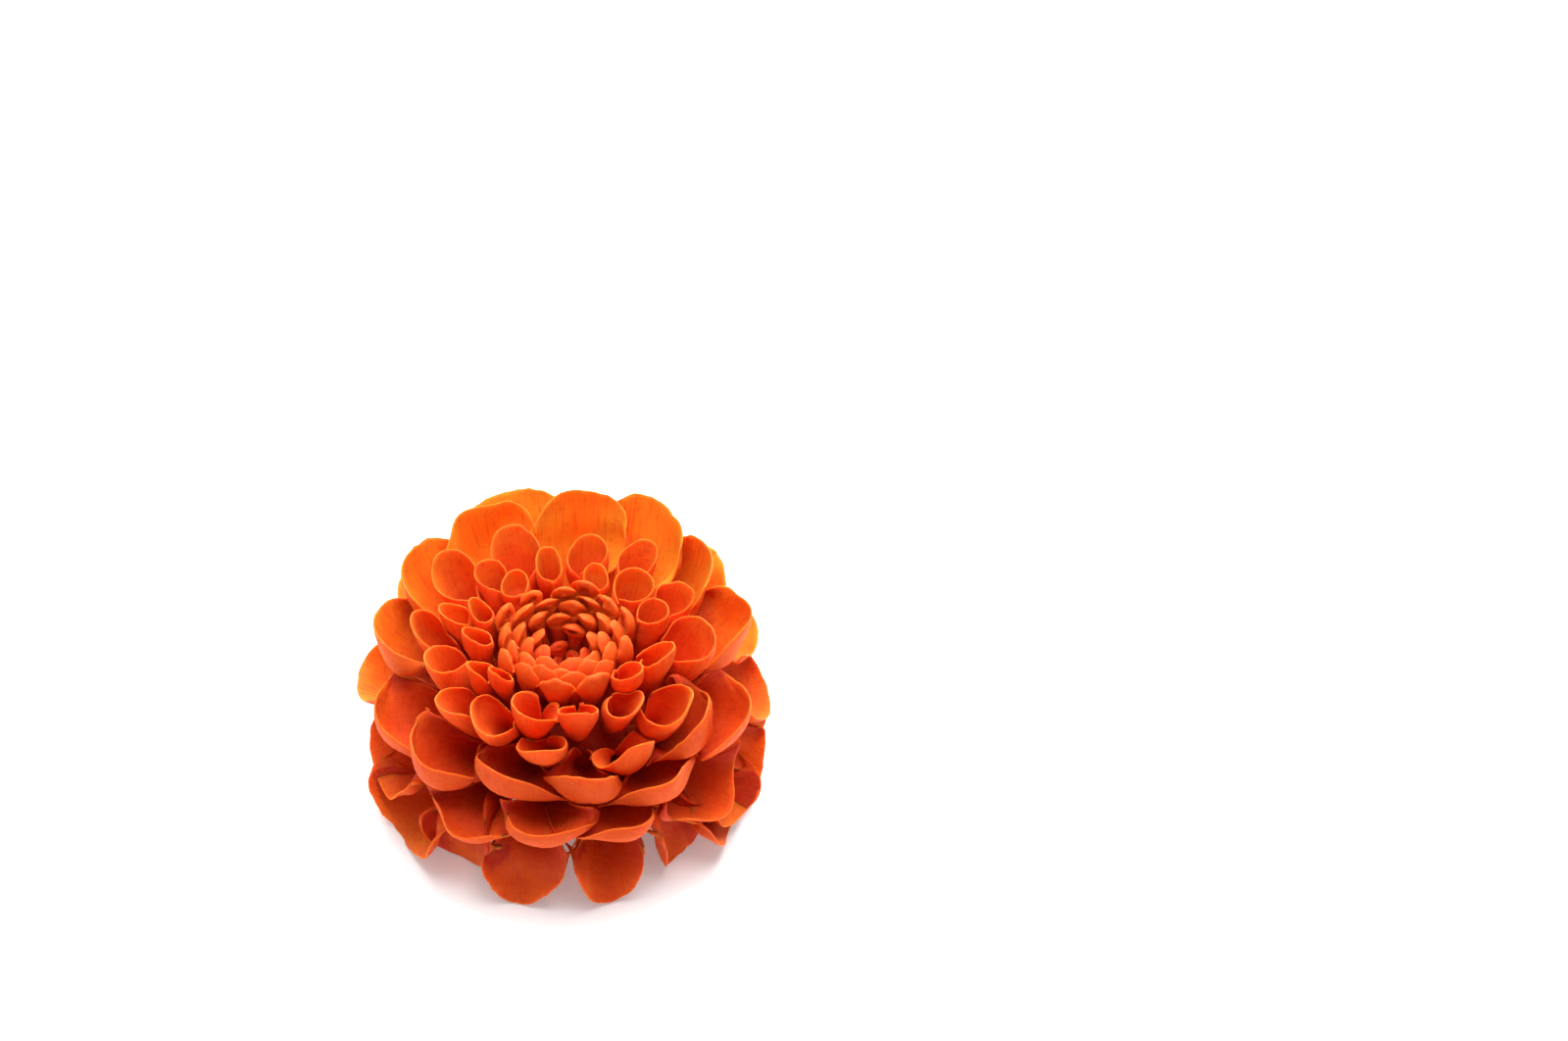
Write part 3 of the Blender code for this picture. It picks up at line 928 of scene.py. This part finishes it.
    def add_to(self, skin: Skin, nest: Nest) -> None:
        """Adds this floret to a piece's mesh.

        Args:
            skin: The piece's mesh.
            nest: What the florets so far fill.
        """
        sheet, draw = self.dress()
        form = self.form
        quill = form.fate is Fate.QUILL
        spread = np.linspace(-1, 1, self.columns)
        share = 0.35 * spread + 0.65 * np.sin(0.5 * np.pi * spread)
        place = np.linspace(0, 1, self.rows)[:, None] ** 0.9
        share_grid = np.broadcast_to(share, (self.rows, self.columns))
        ends = self.tip_line(share, draw)
        along = place * (1 - place**2.5 * (1 - ends[None, :]))
        surface = sheet.surface(along, share_grid)
        x = share_grid * form.half_width * sheet.width_share(along) / MM
        y = along * form.length / MM
        margin = np.abs(share_grid) ** 3 * smooth(along, 0.35, 0.9)
        uneven = 0.16 if quill else 0.30
        lift = uneven * MM * waves(draw, x, y, 7, 16) * smooth(along, 0.2, 0.6)
        lift += 1.4 * uneven * MM * margin * waves(draw, x, y, 4, 8)
        surface = self.settled(surface + lift[:, :, None] * normals_of(surface), along, nest)
        # The gap to the florets inside steers painted shade in the finish: a quill's middle takes less of it,
        # the hanging front petals more.
        gap = np.maximum(nest.gap(surface), 0.0) / MM + (4.0 * (1 - share_grid**2) if quill else 0.0)
        gap *= 1 - 0.5 * float(smooth(form.rank, 100, 107)) * max(0.0, form.front)
        nest.fill(surface, self.thickness)
        edge = sheet.edge(along, share_grid, ends, form.length)
        thickness = self.thickness * (0.50 + 0.50 * smooth(edge, 0.0, 1.2)) * (1.15 - 0.25 * along)
        # The last mark rises towards the back of the head and steers painted backlight in the finish.
        marks = {
            "along": along, "across": x, "length": y, "edge": edge, "gap": gap, "tone": draw.uniform(-1, 1),
            "sun": 0.3 - 0.2 * form.front if quill else 0.5 - 0.5 * form.front,
        }
        add_shell(skin, surface, thickness, marks)


@dataclass
class Bud:
    """A short unopened floret: a folded finger, cut off slantwise, that leans over the hollow.

    Its outline is the finger and one of the two ends, as places along it and shares of its width.
    """

    form: Form
    seed: int
    around: int = 28
    opens_from: float = 33.0
    open_share: float = 0.55
    inner_open_share: float = 0.12

    finger: ClassVar[Chart] = (
        (0.0, 0.60), (0.15, 0.66), (0.30, 0.76), (0.45, 0.87), (0.58, 0.95), (0.70, 1.0), (0.80, 1.02),
        (0.88, 1.01), (0.925, 0.97), (0.95, 0.90), (0.966, 0.80), (0.975, 0.68), (0.978, 0.54),
    )
    open_end: ClassVar[Chart] = (
        (0.972, 0.45), (0.95, 0.40), (0.91, 0.37), (0.86, 0.33), (0.82, 0.24), (0.80, 0.10), (0.80, 0.02),
    )
    closed_end: ClassVar[Chart] = (
        (0.974, 0.42), (0.966, 0.31), (0.957, 0.20), (0.951, 0.12), (0.949, 0.05), (0.949, 0.01),
    )

    def add_to(self, skin: Skin, nest: Nest) -> None:
        """Adds this bud to a piece's mesh.

        Args:
            skin: The piece's mesh.
            nest: What the florets so far fill.
        """
        draw = random.Random(self.seed * 1000 + self.form.index)
        side = self.form.half_width
        open_share = self.open_share if self.form.rank > self.opens_from else self.inner_open_share
        tube = draw.random() < open_share
        flat = draw.uniform(0.58, 0.80)
        body = self.finger + (self.open_end if tube else self.closed_end)
        places, shares = (np.array(values)[:, None] for values in zip(*body))
        angle = np.linspace(0, 2 * np.pi, self.around, endpoint=False)[None, :]
        seam = draw.choice((-1, 1)) * draw.uniform(0.2, 0.7)
        from_seam = np.abs((angle - np.pi - seam * (0.5 + places) + np.pi) % (2 * np.pi) - np.pi)
        groove = 0.16 * np.exp(-(from_seam / 0.16) ** 2) * smooth(places, 0.2, 0.7)
        ridge = 0.07 * np.exp(-((from_seam - 0.42) / 0.25) ** 2)
        radius = side * shares * (1 - groove + ridge)
        squeeze = 1 - (1 - flat) * smooth(places, 0.1, 0.9)
        wide = 1 + draw.uniform(0.10, 0.30) * smooth(places, 0.3, 0.85)
        from_rib = np.abs((angle + np.pi) % (2 * np.pi) - np.pi)
        radius = radius * (1 + 0.10 * np.exp(-(from_rib / 0.40) ** 2) * smooth(places, 0.4, 0.9))
        across = radius * np.sin(angle) * wide
        rise = side * 0.9 - radius * np.cos(angle) * squeeze
        slant = draw.uniform(0.08, 0.17) * smooth(places, 0.35, 1.0)
        point = 0.5 * np.cos(angle) + 0.5 * (1 - 2 * from_rib / np.pi)
        along = places + slant * point * shares
        along = along + 0.012 * waves(draw, across / MM, rise / MM, 1.5, 3) * smooth(places, 0.4, 0.9)
        surface = self.surface(along, across, rise)
        surface = nest.settle(surface, along, stiffness=10, rigid=0.5, gives=(0.6, 0.9))
        nest.fill(surface, 0.0)
        # Painted shade: the light share and the open mouths lower the gap mark and raise the upper mark, so
        # the inner buds, the lower part of each bud and the open mouths take the finish's shaded colour;
        # along is scaled down so more of the darker root colour shows.
        mouth = (np.arange(len(body)) > len(self.finger))[:, None] * float(tube)
        light = smooth(self.form.rank, 2, 15) * (0.25 + 0.75 * smooth(places, 0.5, 0.9))
        skin.add_tube(
            surface, numbered(len(body), self.around),
            along=0.72 * np.clip(places, 0, 1), across=across / MM, length=along * 12,
            edge=3.0 * (1 - groove / 0.16), tone=draw.uniform(-1, 1), upper=0.8 + 0.2 * mouth,
            gap=9.0 * light * (1 - 0.7 * mouth), sun=0.0,
        )

    def surface(self, along: Array, across: Array, rise: Array) -> Array:
        """The bud's surface.

        Args:
            along: The place along its rib at each grid point.
            across: How far the point lies to the side of the rib.
            rise: How far it lies above it.

        Returns:
            The points, rows by columns by three.
        """
        root, bend, tip = self.form.root, self.form.bend, self.form.tip
        t = along[:, :, None]
        rib = (1 - t) ** 2 * root + 2 * t * (1 - t) * bend + t**2 * tip
        rate = (1 - t) * (bend - root) + t * (tip - bend)
        rate = rate / np.linalg.norm(rate, axis=2, keepdims=True)
        distance = rib[:, :, 0] - rise * rate[:, :, 1]
        height = rib[:, :, 1] + rise * rate[:, :, 0]
        return at_azimuth(self.form.azimuth, distance, across, height)


@dataclass
class Receptacle:
    """The fleshy base that the florets grow from, ringed with the scars of their roots."""

    outline: tuple[Pair, ...] = (
        (0.02, 0.56), (0.17, 0.57), (0.30, 0.52), (0.38, 0.42), (0.40, 0.31), (0.33, 0.19), (0.02, 0.16),
    )
    rings: int = 40
    around: int = 96

    def add_to(self, skin: Skin) -> None:
        """Adds the receptacle to a piece's mesh.

        Args:
            skin: The piece's mesh.
        """
        radius, height, angle = turned(self.outline, self.rings, self.around)
        row = np.arange(self.rings)[:, None]
        scars = 0.012 * np.cos(21 * angle + 1.3 * row) * np.cos(np.pi * row)
        points = round_axis(radius, height, angle, scars)
        # Painted shade: its marks give it the finish's dark root colour all over, a dark body in the hollow.
        skin.add_tube(
            points, numbered(self.rings, self.around)[:, ::-1], along=0.0, across=points[:, :, 0] / MM,
            length=points[:, :, 1] / MM, edge=3.0, tone=0.0, upper=1.0, gap=0.0, sun=0.0,
        )


@dataclass
class Bract:
    """A small pointed leaf under the head, spread flat."""

    form: Form
    rows: int = 22
    columns: int = 15
    thickness: float = 0.5 * MM

    def add_to(self, skin: Skin, draw: random.Random) -> None:
        """Adds this bract to a piece's mesh.

        Args:
            skin: The piece's mesh.
            draw: The draws that all the bracts share.
        """
        sheet = Sheet(self.form, claw_share=0.62, widest_at=0.45, claw_power=1.2, claw_roll=self.form.roll)
        share = np.linspace(-1, 1, self.columns)
        place = np.linspace(0, 1, self.rows)[:, None]
        ends = 1 - 0.42 * np.abs(share) ** 1.5 + 0.012 * waves(draw, share * 10, 0 * share, 1.5, 4)
        along = place * (1 - place**2 * (1 - ends[None, :]))
        share_grid = np.broadcast_to(share, along.shape)
        surface = sheet.surface(along, share_grid)
        length = float(np.linalg.norm(self.form.tip - self.form.root))
        x = share_grid * self.form.half_width / MM
        y = along * length / MM
        edge = sheet.edge(along, share_grid, ends, length)
        keel = 0.18 * MM * np.exp(-(share_grid / 0.12) ** 2) + 0.12 * MM * waves(draw, x, y, 2.5, 6)
        surface = surface - keel[:, :, None] * normals_of(surface) * smooth(along, 0.1, 0.5)[:, :, None]
        thickness = self.thickness * (0.45 + 0.55 * smooth(edge, 0.0, 0.9))
        marks = {"along": along, "across": x, "length": y, "edge": edge, "tone": draw.uniform(-1, 1)}
        add_shell(skin, surface, thickness, {**marks, "cut": 0.0})


@dataclass
class StemStub:
    """The saucer that carries the bracts, and the stub of the cut stem, ribbed along its fibres."""

    outline: tuple[Pair, ...] = (
        (0.01, 0.150), (0.12, 0.150), (0.225, 0.150), (0.25, 0.145), (0.262, 0.132), (0.255, 0.118),
        (0.22, 0.095), (0.17, 0.066), (0.13, 0.047), (0.103, 0.036), (0.092, 0.026), (0.090, 0.014),
        (0.089, 0.006), (0.085, 0.001), (0.078, 0.0), (0.05, 0.001), (0.03, 0.003), (0.01, 0.004),
    )
    around: int = 72
    rings_each: int = 3
    cut_from: int = 13

    def add_to(self, skin: Skin) -> None:
        """Adds the saucer and stub to a piece's mesh.

        Args:
            skin: The piece's mesh.
        """
        rings = self.rings_each * (len(self.outline) - 1) + 1
        radius, height, angle = turned(self.outline, rings, self.around)
        ribs = 0.035 * np.cos(11 * angle) + 0.015 * np.cos(23 * angle + 1.0)
        ribs = ribs * smooth(radius, 0.05, 0.085) * (1 - smooth(radius, 0.12, 0.2))
        points = round_axis(radius, height, angle, ribs)
        cut = np.arange(rings)[:, None] >= self.rings_each * self.cut_from
        skin.add_tube(
            points, numbered(rings, self.around)[:, ::-1], along=0.0,
            across=np.where(cut, points[:, :, 0] / MM, 8 * angle),
            length=np.where(cut, points[:, :, 1] / MM, (radius - height) * HEAD_RADIUS / MM),
            edge=np.where(cut, np.maximum(0.0, 0.088 - radius) * HEAD_RADIUS / MM, 3.0),
            tone=0.3, cut=cut,
        )


# Finishes


class Value:
    """One output of a material's nodes; Python's operators on it add Math nodes."""

    def __init__(self, paint: "Paint", socket: bpy.types.NodeSocket) -> None:
        """Keeps the paint that it belongs to and its socket."""
        self.paint = paint
        self.socket = socket

    def math(self, operation: str, *values: "Value | float") -> "Value":
        """A Math node on these values."""
        return self.paint.node("ShaderNodeMath", {"operation": operation}, dict(enumerate(values)))

    def __add__(self, other: "Value | float") -> "Value":
        """Adds."""
        return self.math("ADD", self, other)

    def __radd__(self, other: float) -> "Value":
        """Adds to a number."""
        return self.math("ADD", other, self)

    def __sub__(self, other: "Value | float") -> "Value":
        """Takes away."""
        return self.math("SUBTRACT", self, other)

    def __rsub__(self, other: float) -> "Value":
        """Is taken from a number."""
        return self.math("SUBTRACT", other, self)

    def __mul__(self, other: "Value | float") -> "Value":
        """Multiplies."""
        return self.math("MULTIPLY", self, other)

    def __rmul__(self, other: float) -> "Value":
        """Multiplies a number."""
        return self.math("MULTIPLY", other, self)

    def rise(self, low: float, high: float) -> "Value":
        """A share that rises smoothly from 0 at low to 1 at high."""
        return self.paint.node(
            "ShaderNodeMapRange",
            {"interpolation_type": "SMOOTHSTEP"},
            {"Value": self, "From Min": low, "From Max": high, "To Min": 0.0, "To Max": 1.0},
        )


class Paint:
    """A material and the nodes that make it."""

    def __init__(self, name: str) -> None:
        """Starts an empty material.

        Args:
            name: What it is called.
        """
        self.material = bpy.data.materials.new(name)
        self.material.use_nodes = True
        self.tree = self.material.node_tree
        self.tree.nodes.clear()

    def node(
        self,
        kind: str,
        settings: Mapping[str, Any] | None = None,
        sockets: Mapping[str | int, Any] | None = None,
        output: str | int = 0,
    ) -> Value:
        """Adds a node.

        Args:
            kind: The node's type.
            settings: Its own settings, set first.
            sockets: Values or links for its inputs.
            output: The output that is wanted.

        Returns:
            That output.
        """
        node = self.tree.nodes.new(kind)
        for name, setting in (settings or {}).items():
            setattr(node, name, setting)
        for name, value in (sockets or {}).items():
            if isinstance(value, Value):
                self.tree.links.new(value.socket, node.inputs[name])
            else:
                node.inputs[name].default_value = value
        return Value(self, node.outputs[output])

    def marks(self, *names: str) -> list[Value]:
        """The marks that the mesh holds at each point."""
        return [self.node("ShaderNodeAttribute", {"attribute_name": name}, output="Fac") for name in names]

    def mix(self, share: Value | float, first: Value | Colour, second: Value | Colour) -> Value:
        """A colour between two colours.

        Args:
            share: How much of the second.
            first: A colour, or an output that gives one.
            second: Another.

        Returns:
            The colour.
        """
        first, second = (value if isinstance(value, Value) else (*value, 1.0) for value in (first, second))
        return self.node("ShaderNodeMix", {"data_type": "RGBA"}, {0: share, 6: first, 7: second}, output=2)

    def vector(self, x: Value | float, y: Value | float, z: Value | float) -> Value:
        """A vector from three numbers."""
        return self.node("ShaderNodeCombineXYZ", {}, {0: x, 1: y, 2: z})

    def noise(self, where: Value, scale: float, detail: float = 3.0, rough: float = 0.55) -> Value:
        """Soft noise between 0 and 1."""
        sockets = {"Vector": where, "Scale": scale, "Detail": detail, "Roughness": rough}
        return self.node("ShaderNodeTexNoise", {}, sockets)

    def finish(self, **sockets: Any) -> bpy.types.Material:
        """Closes the material with a Principled shader.

        Args:
            sockets: Values or links for its inputs, with _ for a space.

        Returns:
            The material.
        """
        inputs = {name.replace("_", " "): value for name, value in sockets.items()}
        shader = self.node("ShaderNodeBsdfPrincipled", {"subsurface_method": "RANDOM_WALK"}, inputs)
        closing = self.tree.nodes.new("ShaderNodeOutputMaterial")
        self.tree.links.new(shader.socket, closing.inputs["Surface"])
        return self.material


@dataclass(frozen=True)
class PetalFinish:
    """Velvety, finely veined petal tissue; painted backlight at the back, painted rim light on the margins,
    painted shade at the front, between florets and at the root.
    """

    name: str = "petal tissue"
    lamina: Colour = (0.71, 0.087, 0.008)
    # Painted backlight: lighter, yellower tissue towards the back of the head.
    lamina_sunny: Colour = (0.93, 0.298, 0.016)
    pale: Colour = (0.80, 0.150, 0.009)
    # Painted backlight on the paler tips.
    pale_sunny: Colour = (0.95, 0.368, 0.020)
    # Painted shade: this colour darkens the petals towards the front of the head, most on their faces
    # underneath.
    inside: Colour = (0.63, 0.051, 0.006)
    # Painted shade between the florets.
    shaded: Colour = (0.45, 0.015, 0.005)
    # Painted shade: darker and redder towards the root, deep in the head.
    root: Colour = (0.50, 0.018, 0.005)
    # Painted rim light on the thin margins.
    margin: Colour = (0.88, 0.22, 0.018)
    vein: Colour = (0.62, 0.040, 0.007)
    blemish: Colour = (0.12, 0.012, 0.006)
    dust: Colour = (0.90, 0.72, 0.60)
    roughness: float = 0.66

    def material(self) -> bpy.types.Material:
        """Mixes the finish.

        Returns:
            The finished material.
        """
        paint = Paint(self.name)
        along, across, length, edge = paint.marks("along", "across", "length", "edge")
        tone, upper, gap, sun = paint.marks("tone", "upper", "gap", "sun")
        # Painted backlight: its share, stronger on the upper faces.
        sun = sun * (0.35 + upper * 0.55)
        flat = paint.vector(across, length, tone * 9.0)
        streaks = paint.noise(paint.vector(across * 2.6, length * 0.16, tone * 9.0), 1.0, 4.0)
        cloud = paint.noise(flat, 0.22, 3.0)
        grain = paint.noise(flat, 5.0, 3.0)
        # Paler towards the tips in random clouds, and more so as painted backlight towards the back of the
        # head.
        paler = along.rise(0.45, 1.0) * (0.45 + sun * 0.75) + cloud * 0.8 - 0.45 + tone * 0.15
        colour = paint.mix(sun.rise(0.25, 1.0), self.lamina, self.lamina_sunny)
        colour = paint.mix(paler.rise(0.0, 1.0), colour, paint.mix(sun, self.pale, self.pale_sunny))
        # Painted shade: darker towards the front of the head, away from the light, most on the faces
        # underneath.
        colour = paint.mix((0.55 - upper * 0.30) * (1.0 - sun), colour, self.inside)
        # Painted shade on the upper faces where the florets inside lie close, less towards the back of the
        # head.
        colour = paint.mix((1.0 - gap.rise(0.3, 6.0)) * upper * (0.95 - sun * 0.75), colour, self.shaded)
        # Painted shade: darker and redder towards the root, deep in the head.
        colour = paint.mix(1.0 - along.rise(0.1, 0.7), colour, self.root)
        colour = paint.mix(streaks.rise(0.48, 0.72) * 0.4, colour, self.vein)
        mottle = paint.noise(flat, 0.9, 4.0, 0.7)
        colour = paint.mix(mottle.rise(0.5, 0.8) * 0.45, colour, self.shaded)
        colour = paint.mix(mottle.rise(0.55, 0.2) * 0.25, colour, self.pale)
        # Painted rim light: the thin margins paler in random clouds, more so where backlit.
        rim = (1.0 - edge.rise(0.0, 0.4)) * (cloud * 1.2 - 0.05)
        colour = paint.mix(rim * (0.55 + sun * 0.45), colour, self.margin)
        spots = paint.noise(flat, 3.0, 1.0).rise(0.76, 0.80) * cloud.rise(0.45, 0.6)
        colour = paint.mix(spots * 0.85, colour, self.blemish)
        dust = paint.noise(paint.vector(length, across, tone * 5.0 + 3.0), 2.6, 1.0).rise(0.80, 0.83)
        colour = paint.mix(dust * 0.7, colour, self.dust)
        relief = streaks * 0.7 + grain * 0.3 + mottle * 0.5
        bump = paint.node("ShaderNodeBump", {}, {"Strength": 0.6, "Distance": 0.16 * MM, "Height": relief})
        return paint.finish(
            Base_Color=colour, Roughness=self.roughness, Normal=bump, Specular_IOR_Level=0.17,
            Subsurface_Weight=1.0, Subsurface_Radius=(1.0, 0.48, 0.12), Subsurface_Scale=0.6 * MM,
            Sheen_Weight=0.03, Sheen_Roughness=0.5, Sheen_Tint=(1.0, 0.45, 0.15, 1.0),
        )


@dataclass(frozen=True)
class FloorFinish:
    """A plain white table that glows a little."""

    name: str = "white table"
    white: Colour = (0.93, 0.93, 0.93)
    grey: Colour = (0.88, 0.88, 0.88)
    glow_colour: Colour = (1.0, 0.99, 0.98)
    glow: float = 0.20

    def material(self) -> bpy.types.Material:
        """Mixes the finish.

        Returns:
            The finished material.
        """
        paint = Paint(self.name)
        where = paint.node("ShaderNodeTexCoord", output="Object")
        grain = paint.noise(where, 900.0, 2.0)
        colour = paint.mix(grain * 0.05, self.white, self.grey)
        return paint.finish(
            Base_Color=colour, Roughness=0.7, Specular_IOR_Level=0.2,
            Emission_Color=(*self.glow_colour, 1.0), Emission_Strength=self.glow,
        )


@dataclass(frozen=True)
class CalyxFinish:
    """Dried green bracts with brown margins, and the fibrous stub with its pale pith."""

    name: str = "dried calyx"
    green: Colour = (0.13, 0.17, 0.035)
    olive: Colour = (0.22, 0.21, 0.05)
    rind: Colour = (0.10, 0.11, 0.03)
    brown: Colour = (0.16, 0.085, 0.03)
    pith: Colour = (0.55, 0.47, 0.26)
    roughness: float = 0.68

    def material(self) -> bpy.types.Material:
        """Mixes the finish.

        Returns:
            The finished material.
        """
        paint = Paint(self.name)
        along, across, length = paint.marks("along", "across", "length")
        edge, tone, cut = paint.marks("edge", "tone", "cut")
        flat = paint.vector(across, length, tone * 9.0)
        fibres = paint.noise(paint.vector(across * 4.0, length * 0.35, tone * 9.0), 1.0, 4.0)
        cloud = paint.noise(flat, 0.5, 3.0)
        pores = paint.noise(flat, 5.0, 2.0)
        colour = paint.mix(cloud.rise(0.35, 0.65), self.green, self.olive)
        colour = paint.mix(fibres.rise(0.5, 0.72) * 0.6, colour, self.rind)
        colour = paint.mix((1.0 - edge.rise(0.0, 0.7)) * 0.8 * along.rise(0.2, 0.8), colour, self.brown)
        inner = paint.mix(pores.rise(0.45, 0.7), self.pith, self.brown)
        colour = paint.mix(cut * edge.rise(0.15, 0.7), colour, inner)
        relief = fibres * 0.7 + pores * 0.3
        bump = paint.node("ShaderNodeBump", {}, {"Strength": 0.5, "Distance": 0.15 * MM, "Height": relief})
        return paint.finish(Base_Color=colour, Roughness=self.roughness, Normal=bump, Specular_IOR_Level=0.25)


# Sub-assemblies


def fitted(skin: Skin, material: bpy.types.Material, node: str) -> bpy.types.Object:
    """Makes a piece from its skin, dresses it and puts it in place of a solid.

    Args:
        skin: The piece's mesh.
        material: Its finish.
        node: The solid that it replaces.

    Returns:
        The piece.
    """
    piece = skin.to_object()
    piece.data.materials.append(material)
    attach(piece, "root")
    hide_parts(node)
    log.info("%s: %d faces, in place of %s", piece.name, len(piece.data.polygons), node)
    return piece


@dataclass
class Bloom:
    """The orange florets and the receptacle that they grow from."""

    row: FloretRow = field(default_factory=FloretRow)
    finish: PetalFinish = field(default_factory=PetalFinish)
    # Like the petals', the quills' and buds' inside, shaded and root colours are painted shade, and their
    # backlit colours painted backlight.
    quill_finish: PetalFinish = field(default_factory=lambda: PetalFinish(
        name="quill tissue", lamina=(0.78, 0.104, 0.012), lamina_sunny=(0.85, 0.150, 0.012),
        inside=(0.74, 0.082, 0.011), shaded=(0.50, 0.019, 0.006),
    ))
    bud_finish: PetalFinish = field(default_factory=lambda: PetalFinish(
        name="bud tissue", lamina=(0.70, 0.108, 0.009), pale=(0.80, 0.185, 0.011),
        inside=(0.69, 0.088, 0.009), shaded=(0.58, 0.036, 0.007), root=(0.58, 0.042, 0.007),
    ))
    seed: int = 5
    hanging_from: float = 98.0

    def floret(self, form: Form) -> Bud | Petal:
        """What grows from a form."""
        return (Bud if form.fate is Fate.BUD else Petal)(form, self.seed)

    def make(self) -> list[bpy.types.Object]:
        """Makes the receptacle and then the florets from the middle outwards, each outside the last.

        Returns:
            The pieces.
        """
        forms = self.row.forms()
        blades = [form for form in forms if form.fate is Fate.BLADE]
        groups = {
            "centre_buds": [form for form in forms if form.fate is Fate.BUD],
            "quilled_petals": [form for form in forms if form.fate is Fate.QUILL],
            "cupped_petals": [form for form in blades if form.rank < self.hanging_from],
            "hanging_petals": [form for form in blades if form.rank >= self.hanging_from],
        }
        core = Skin("receptacle")
        Receptacle().add_to(core)
        skins = [core]
        nest = Nest()
        for name, members in groups.items():
            skin = Skin(name)
            for form in members:
                self.floret(form).add_to(skin, nest)
            skins.append(skin)
        petal = self.finish.material()
        own = {"centre_buds": self.bud_finish.material(), "quilled_petals": self.quill_finish.material()}
        return [fitted(skin, own.get(skin.name, petal), "bloom") for skin in skins]


@dataclass(frozen=True)
class BractRow:
    """A ring of bracts under the head, in head radii and degrees."""

    count: int
    root: Pair
    bend: Pair
    tip: Pair
    half_width: float
    roll: float


@dataclass
class Calyx:
    """The green bracts under the head and the short stub of the cut stem."""

    finish: CalyxFinish = field(default_factory=CalyxFinish)
    seed: int = 3
    rings: tuple[BractRow, ...] = (
        BractRow(8, (0.12, 0.105), (0.30, 0.100), (0.44, 0.115), 0.105, 22),
        BractRow(5, (0.08, 0.060), (0.28, 0.070), (0.40, 0.025), 0.085, 30),
    )

    def bracts(self) -> Skin:
        """Makes all the bracts, ring by ring.

        Returns:
            Their mesh.
        """
        skin = Skin("bracts")
        draw = random.Random(self.seed)
        for ring in self.rings:
            root, bend, tip = (HEAD_RADIUS * np.array(point) for point in (ring.root, ring.bend, ring.tip))
            for number in range(ring.count):
                azimuth = 2 * math.pi * (number + 0.5) / ring.count + math.radians(draw.uniform(-4, 4))
                twist = math.radians(draw.uniform(-8, 8))
                form = Form(
                    number, LAST_RANK, Fate.BLADE, azimuth, root, bend, tip * draw.uniform(0.93, 1.0),
                    HEAD_RADIUS * ring.half_width, math.radians(ring.roll), twist,
                )
                Bract(form).add_to(skin, draw)
        return skin

    def make(self) -> list[bpy.types.Object]:
        """Makes the bracts and the stub.

        Returns:
            The pieces.
        """
        stub = Skin("stem_stub")
        StemStub().add_to(stub)
        material = self.finish.material()
        return [fitted(skin, material, "calyx") for skin in (self.bracts(), stub)]


def put(thing: bpy.types.Object, place: Vector, aim: Vector) -> None:
    """Puts a lamp or a camera into the scene.

    Args:
        thing: The lamp or camera.
        place: Where it stands.
        aim: The point that it faces.
    """
    thing.location = place
    thing.rotation_euler = (aim - place).to_track_quat("-Z", "Y").to_euler()
    bpy.context.scene.collection.objects.link(thing)


@dataclass(frozen=True)
class SoftBox:
    """A square soft light: where it hangs, how wide it is and its power in watts."""

    name: str
    place: tuple[float, float, float]
    width: float
    power: float

    def hang(self, aim: Vector) -> None:
        """Hangs it so that it faces a point.

        Args:
            aim: The point.
        """
        data = bpy.data.lights.new(self.name, "AREA")
        data.size = self.width
        data.energy = self.power
        put(bpy.data.objects.new(self.name, data), Vector(self.place), aim)


@dataclass
class Studio:
    """The table, the light and the camera at the photograph's viewing angle."""

    table_width: float = 4.0
    surroundings: float = 0.44
    lit_height: float = 0.015
    soft_boxes: tuple[SoftBox, ...] = (
        SoftBox("top soft box", (0.05, 0.20, 0.90), 0.8, 12.5),
        SoftBox("back soft box", (0.15, 0.70, 0.50), 0.6, 12.0),
    )
    lens: float = 100.0
    sensor: float = 36.0
    photo: Pair = (1600.0, 1062.0)
    head_at: Pair = (568.0, 679.0)
    head_radius_px: float = 218.0
    head_middle: float = 0.55 * HEAD_RADIUS

    def table(self) -> None:
        """A wide plain floor."""
        bpy.ops.mesh.primitive_plane_add(size=self.table_width, location=(0, 0, 0))
        floor = bpy.context.object
        floor.name = "floor"
        floor.data.materials.append(FloorFinish().material())

    def light(self) -> None:
        """White surroundings and the soft boxes."""
        world = bpy.data.worlds.new("white surroundings")
        world.use_nodes = True
        background = world.node_tree.nodes["Background"]
        background.inputs["Color"].default_value = (1.0, 1.0, 1.0, 1.0)
        background.inputs["Strength"].default_value = self.surroundings
        bpy.context.scene.world = world
        for box in self.soft_boxes:
            box.hang(Vector((0, 0, self.lit_height)))

    def camera(self) -> None:
        """The camera, so that the head falls where the photograph shows it."""
        middle = Vector((0, 0, self.head_middle))
        pixel = HEAD_RADIUS / self.head_radius_px
        distance = pixel * self.photo[0] * self.lens / self.sensor
        back = Vector((0, -math.cos(VIEW_ELEVATION), math.sin(VIEW_ELEVATION)))
        right = Vector((1, 0, 0))
        up = Vector((0, math.sin(VIEW_ELEVATION), math.cos(VIEW_ELEVATION)))
        data = bpy.data.cameras.new("camera")
        data.lens, data.sensor_width = self.lens, self.sensor
        data.clip_start, data.clip_end = 0.01, 20.0
        camera = bpy.data.objects.new("camera", data)
        aside = (self.photo[0] / 2 - self.head_at[0]) * pixel
        above = (self.head_at[1] - self.photo[1] / 2) * pixel
        put(camera, middle + back * distance, middle + right * aside + up * above)
        bpy.context.scene.camera = camera

    def make(self) -> None:
        """Makes all of it."""
        self.table()
        self.light()
        self.camera()
        bpy.context.scene.view_settings.view_transform = "Standard"


def main() -> None:
    """Builds the looks."""
    logging.basicConfig(level=logging.INFO, format="%(message)s")
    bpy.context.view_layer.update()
    Bloom().make()
    Calyx().make()
    Studio().make()


if __name__ == "__main__":
    main()
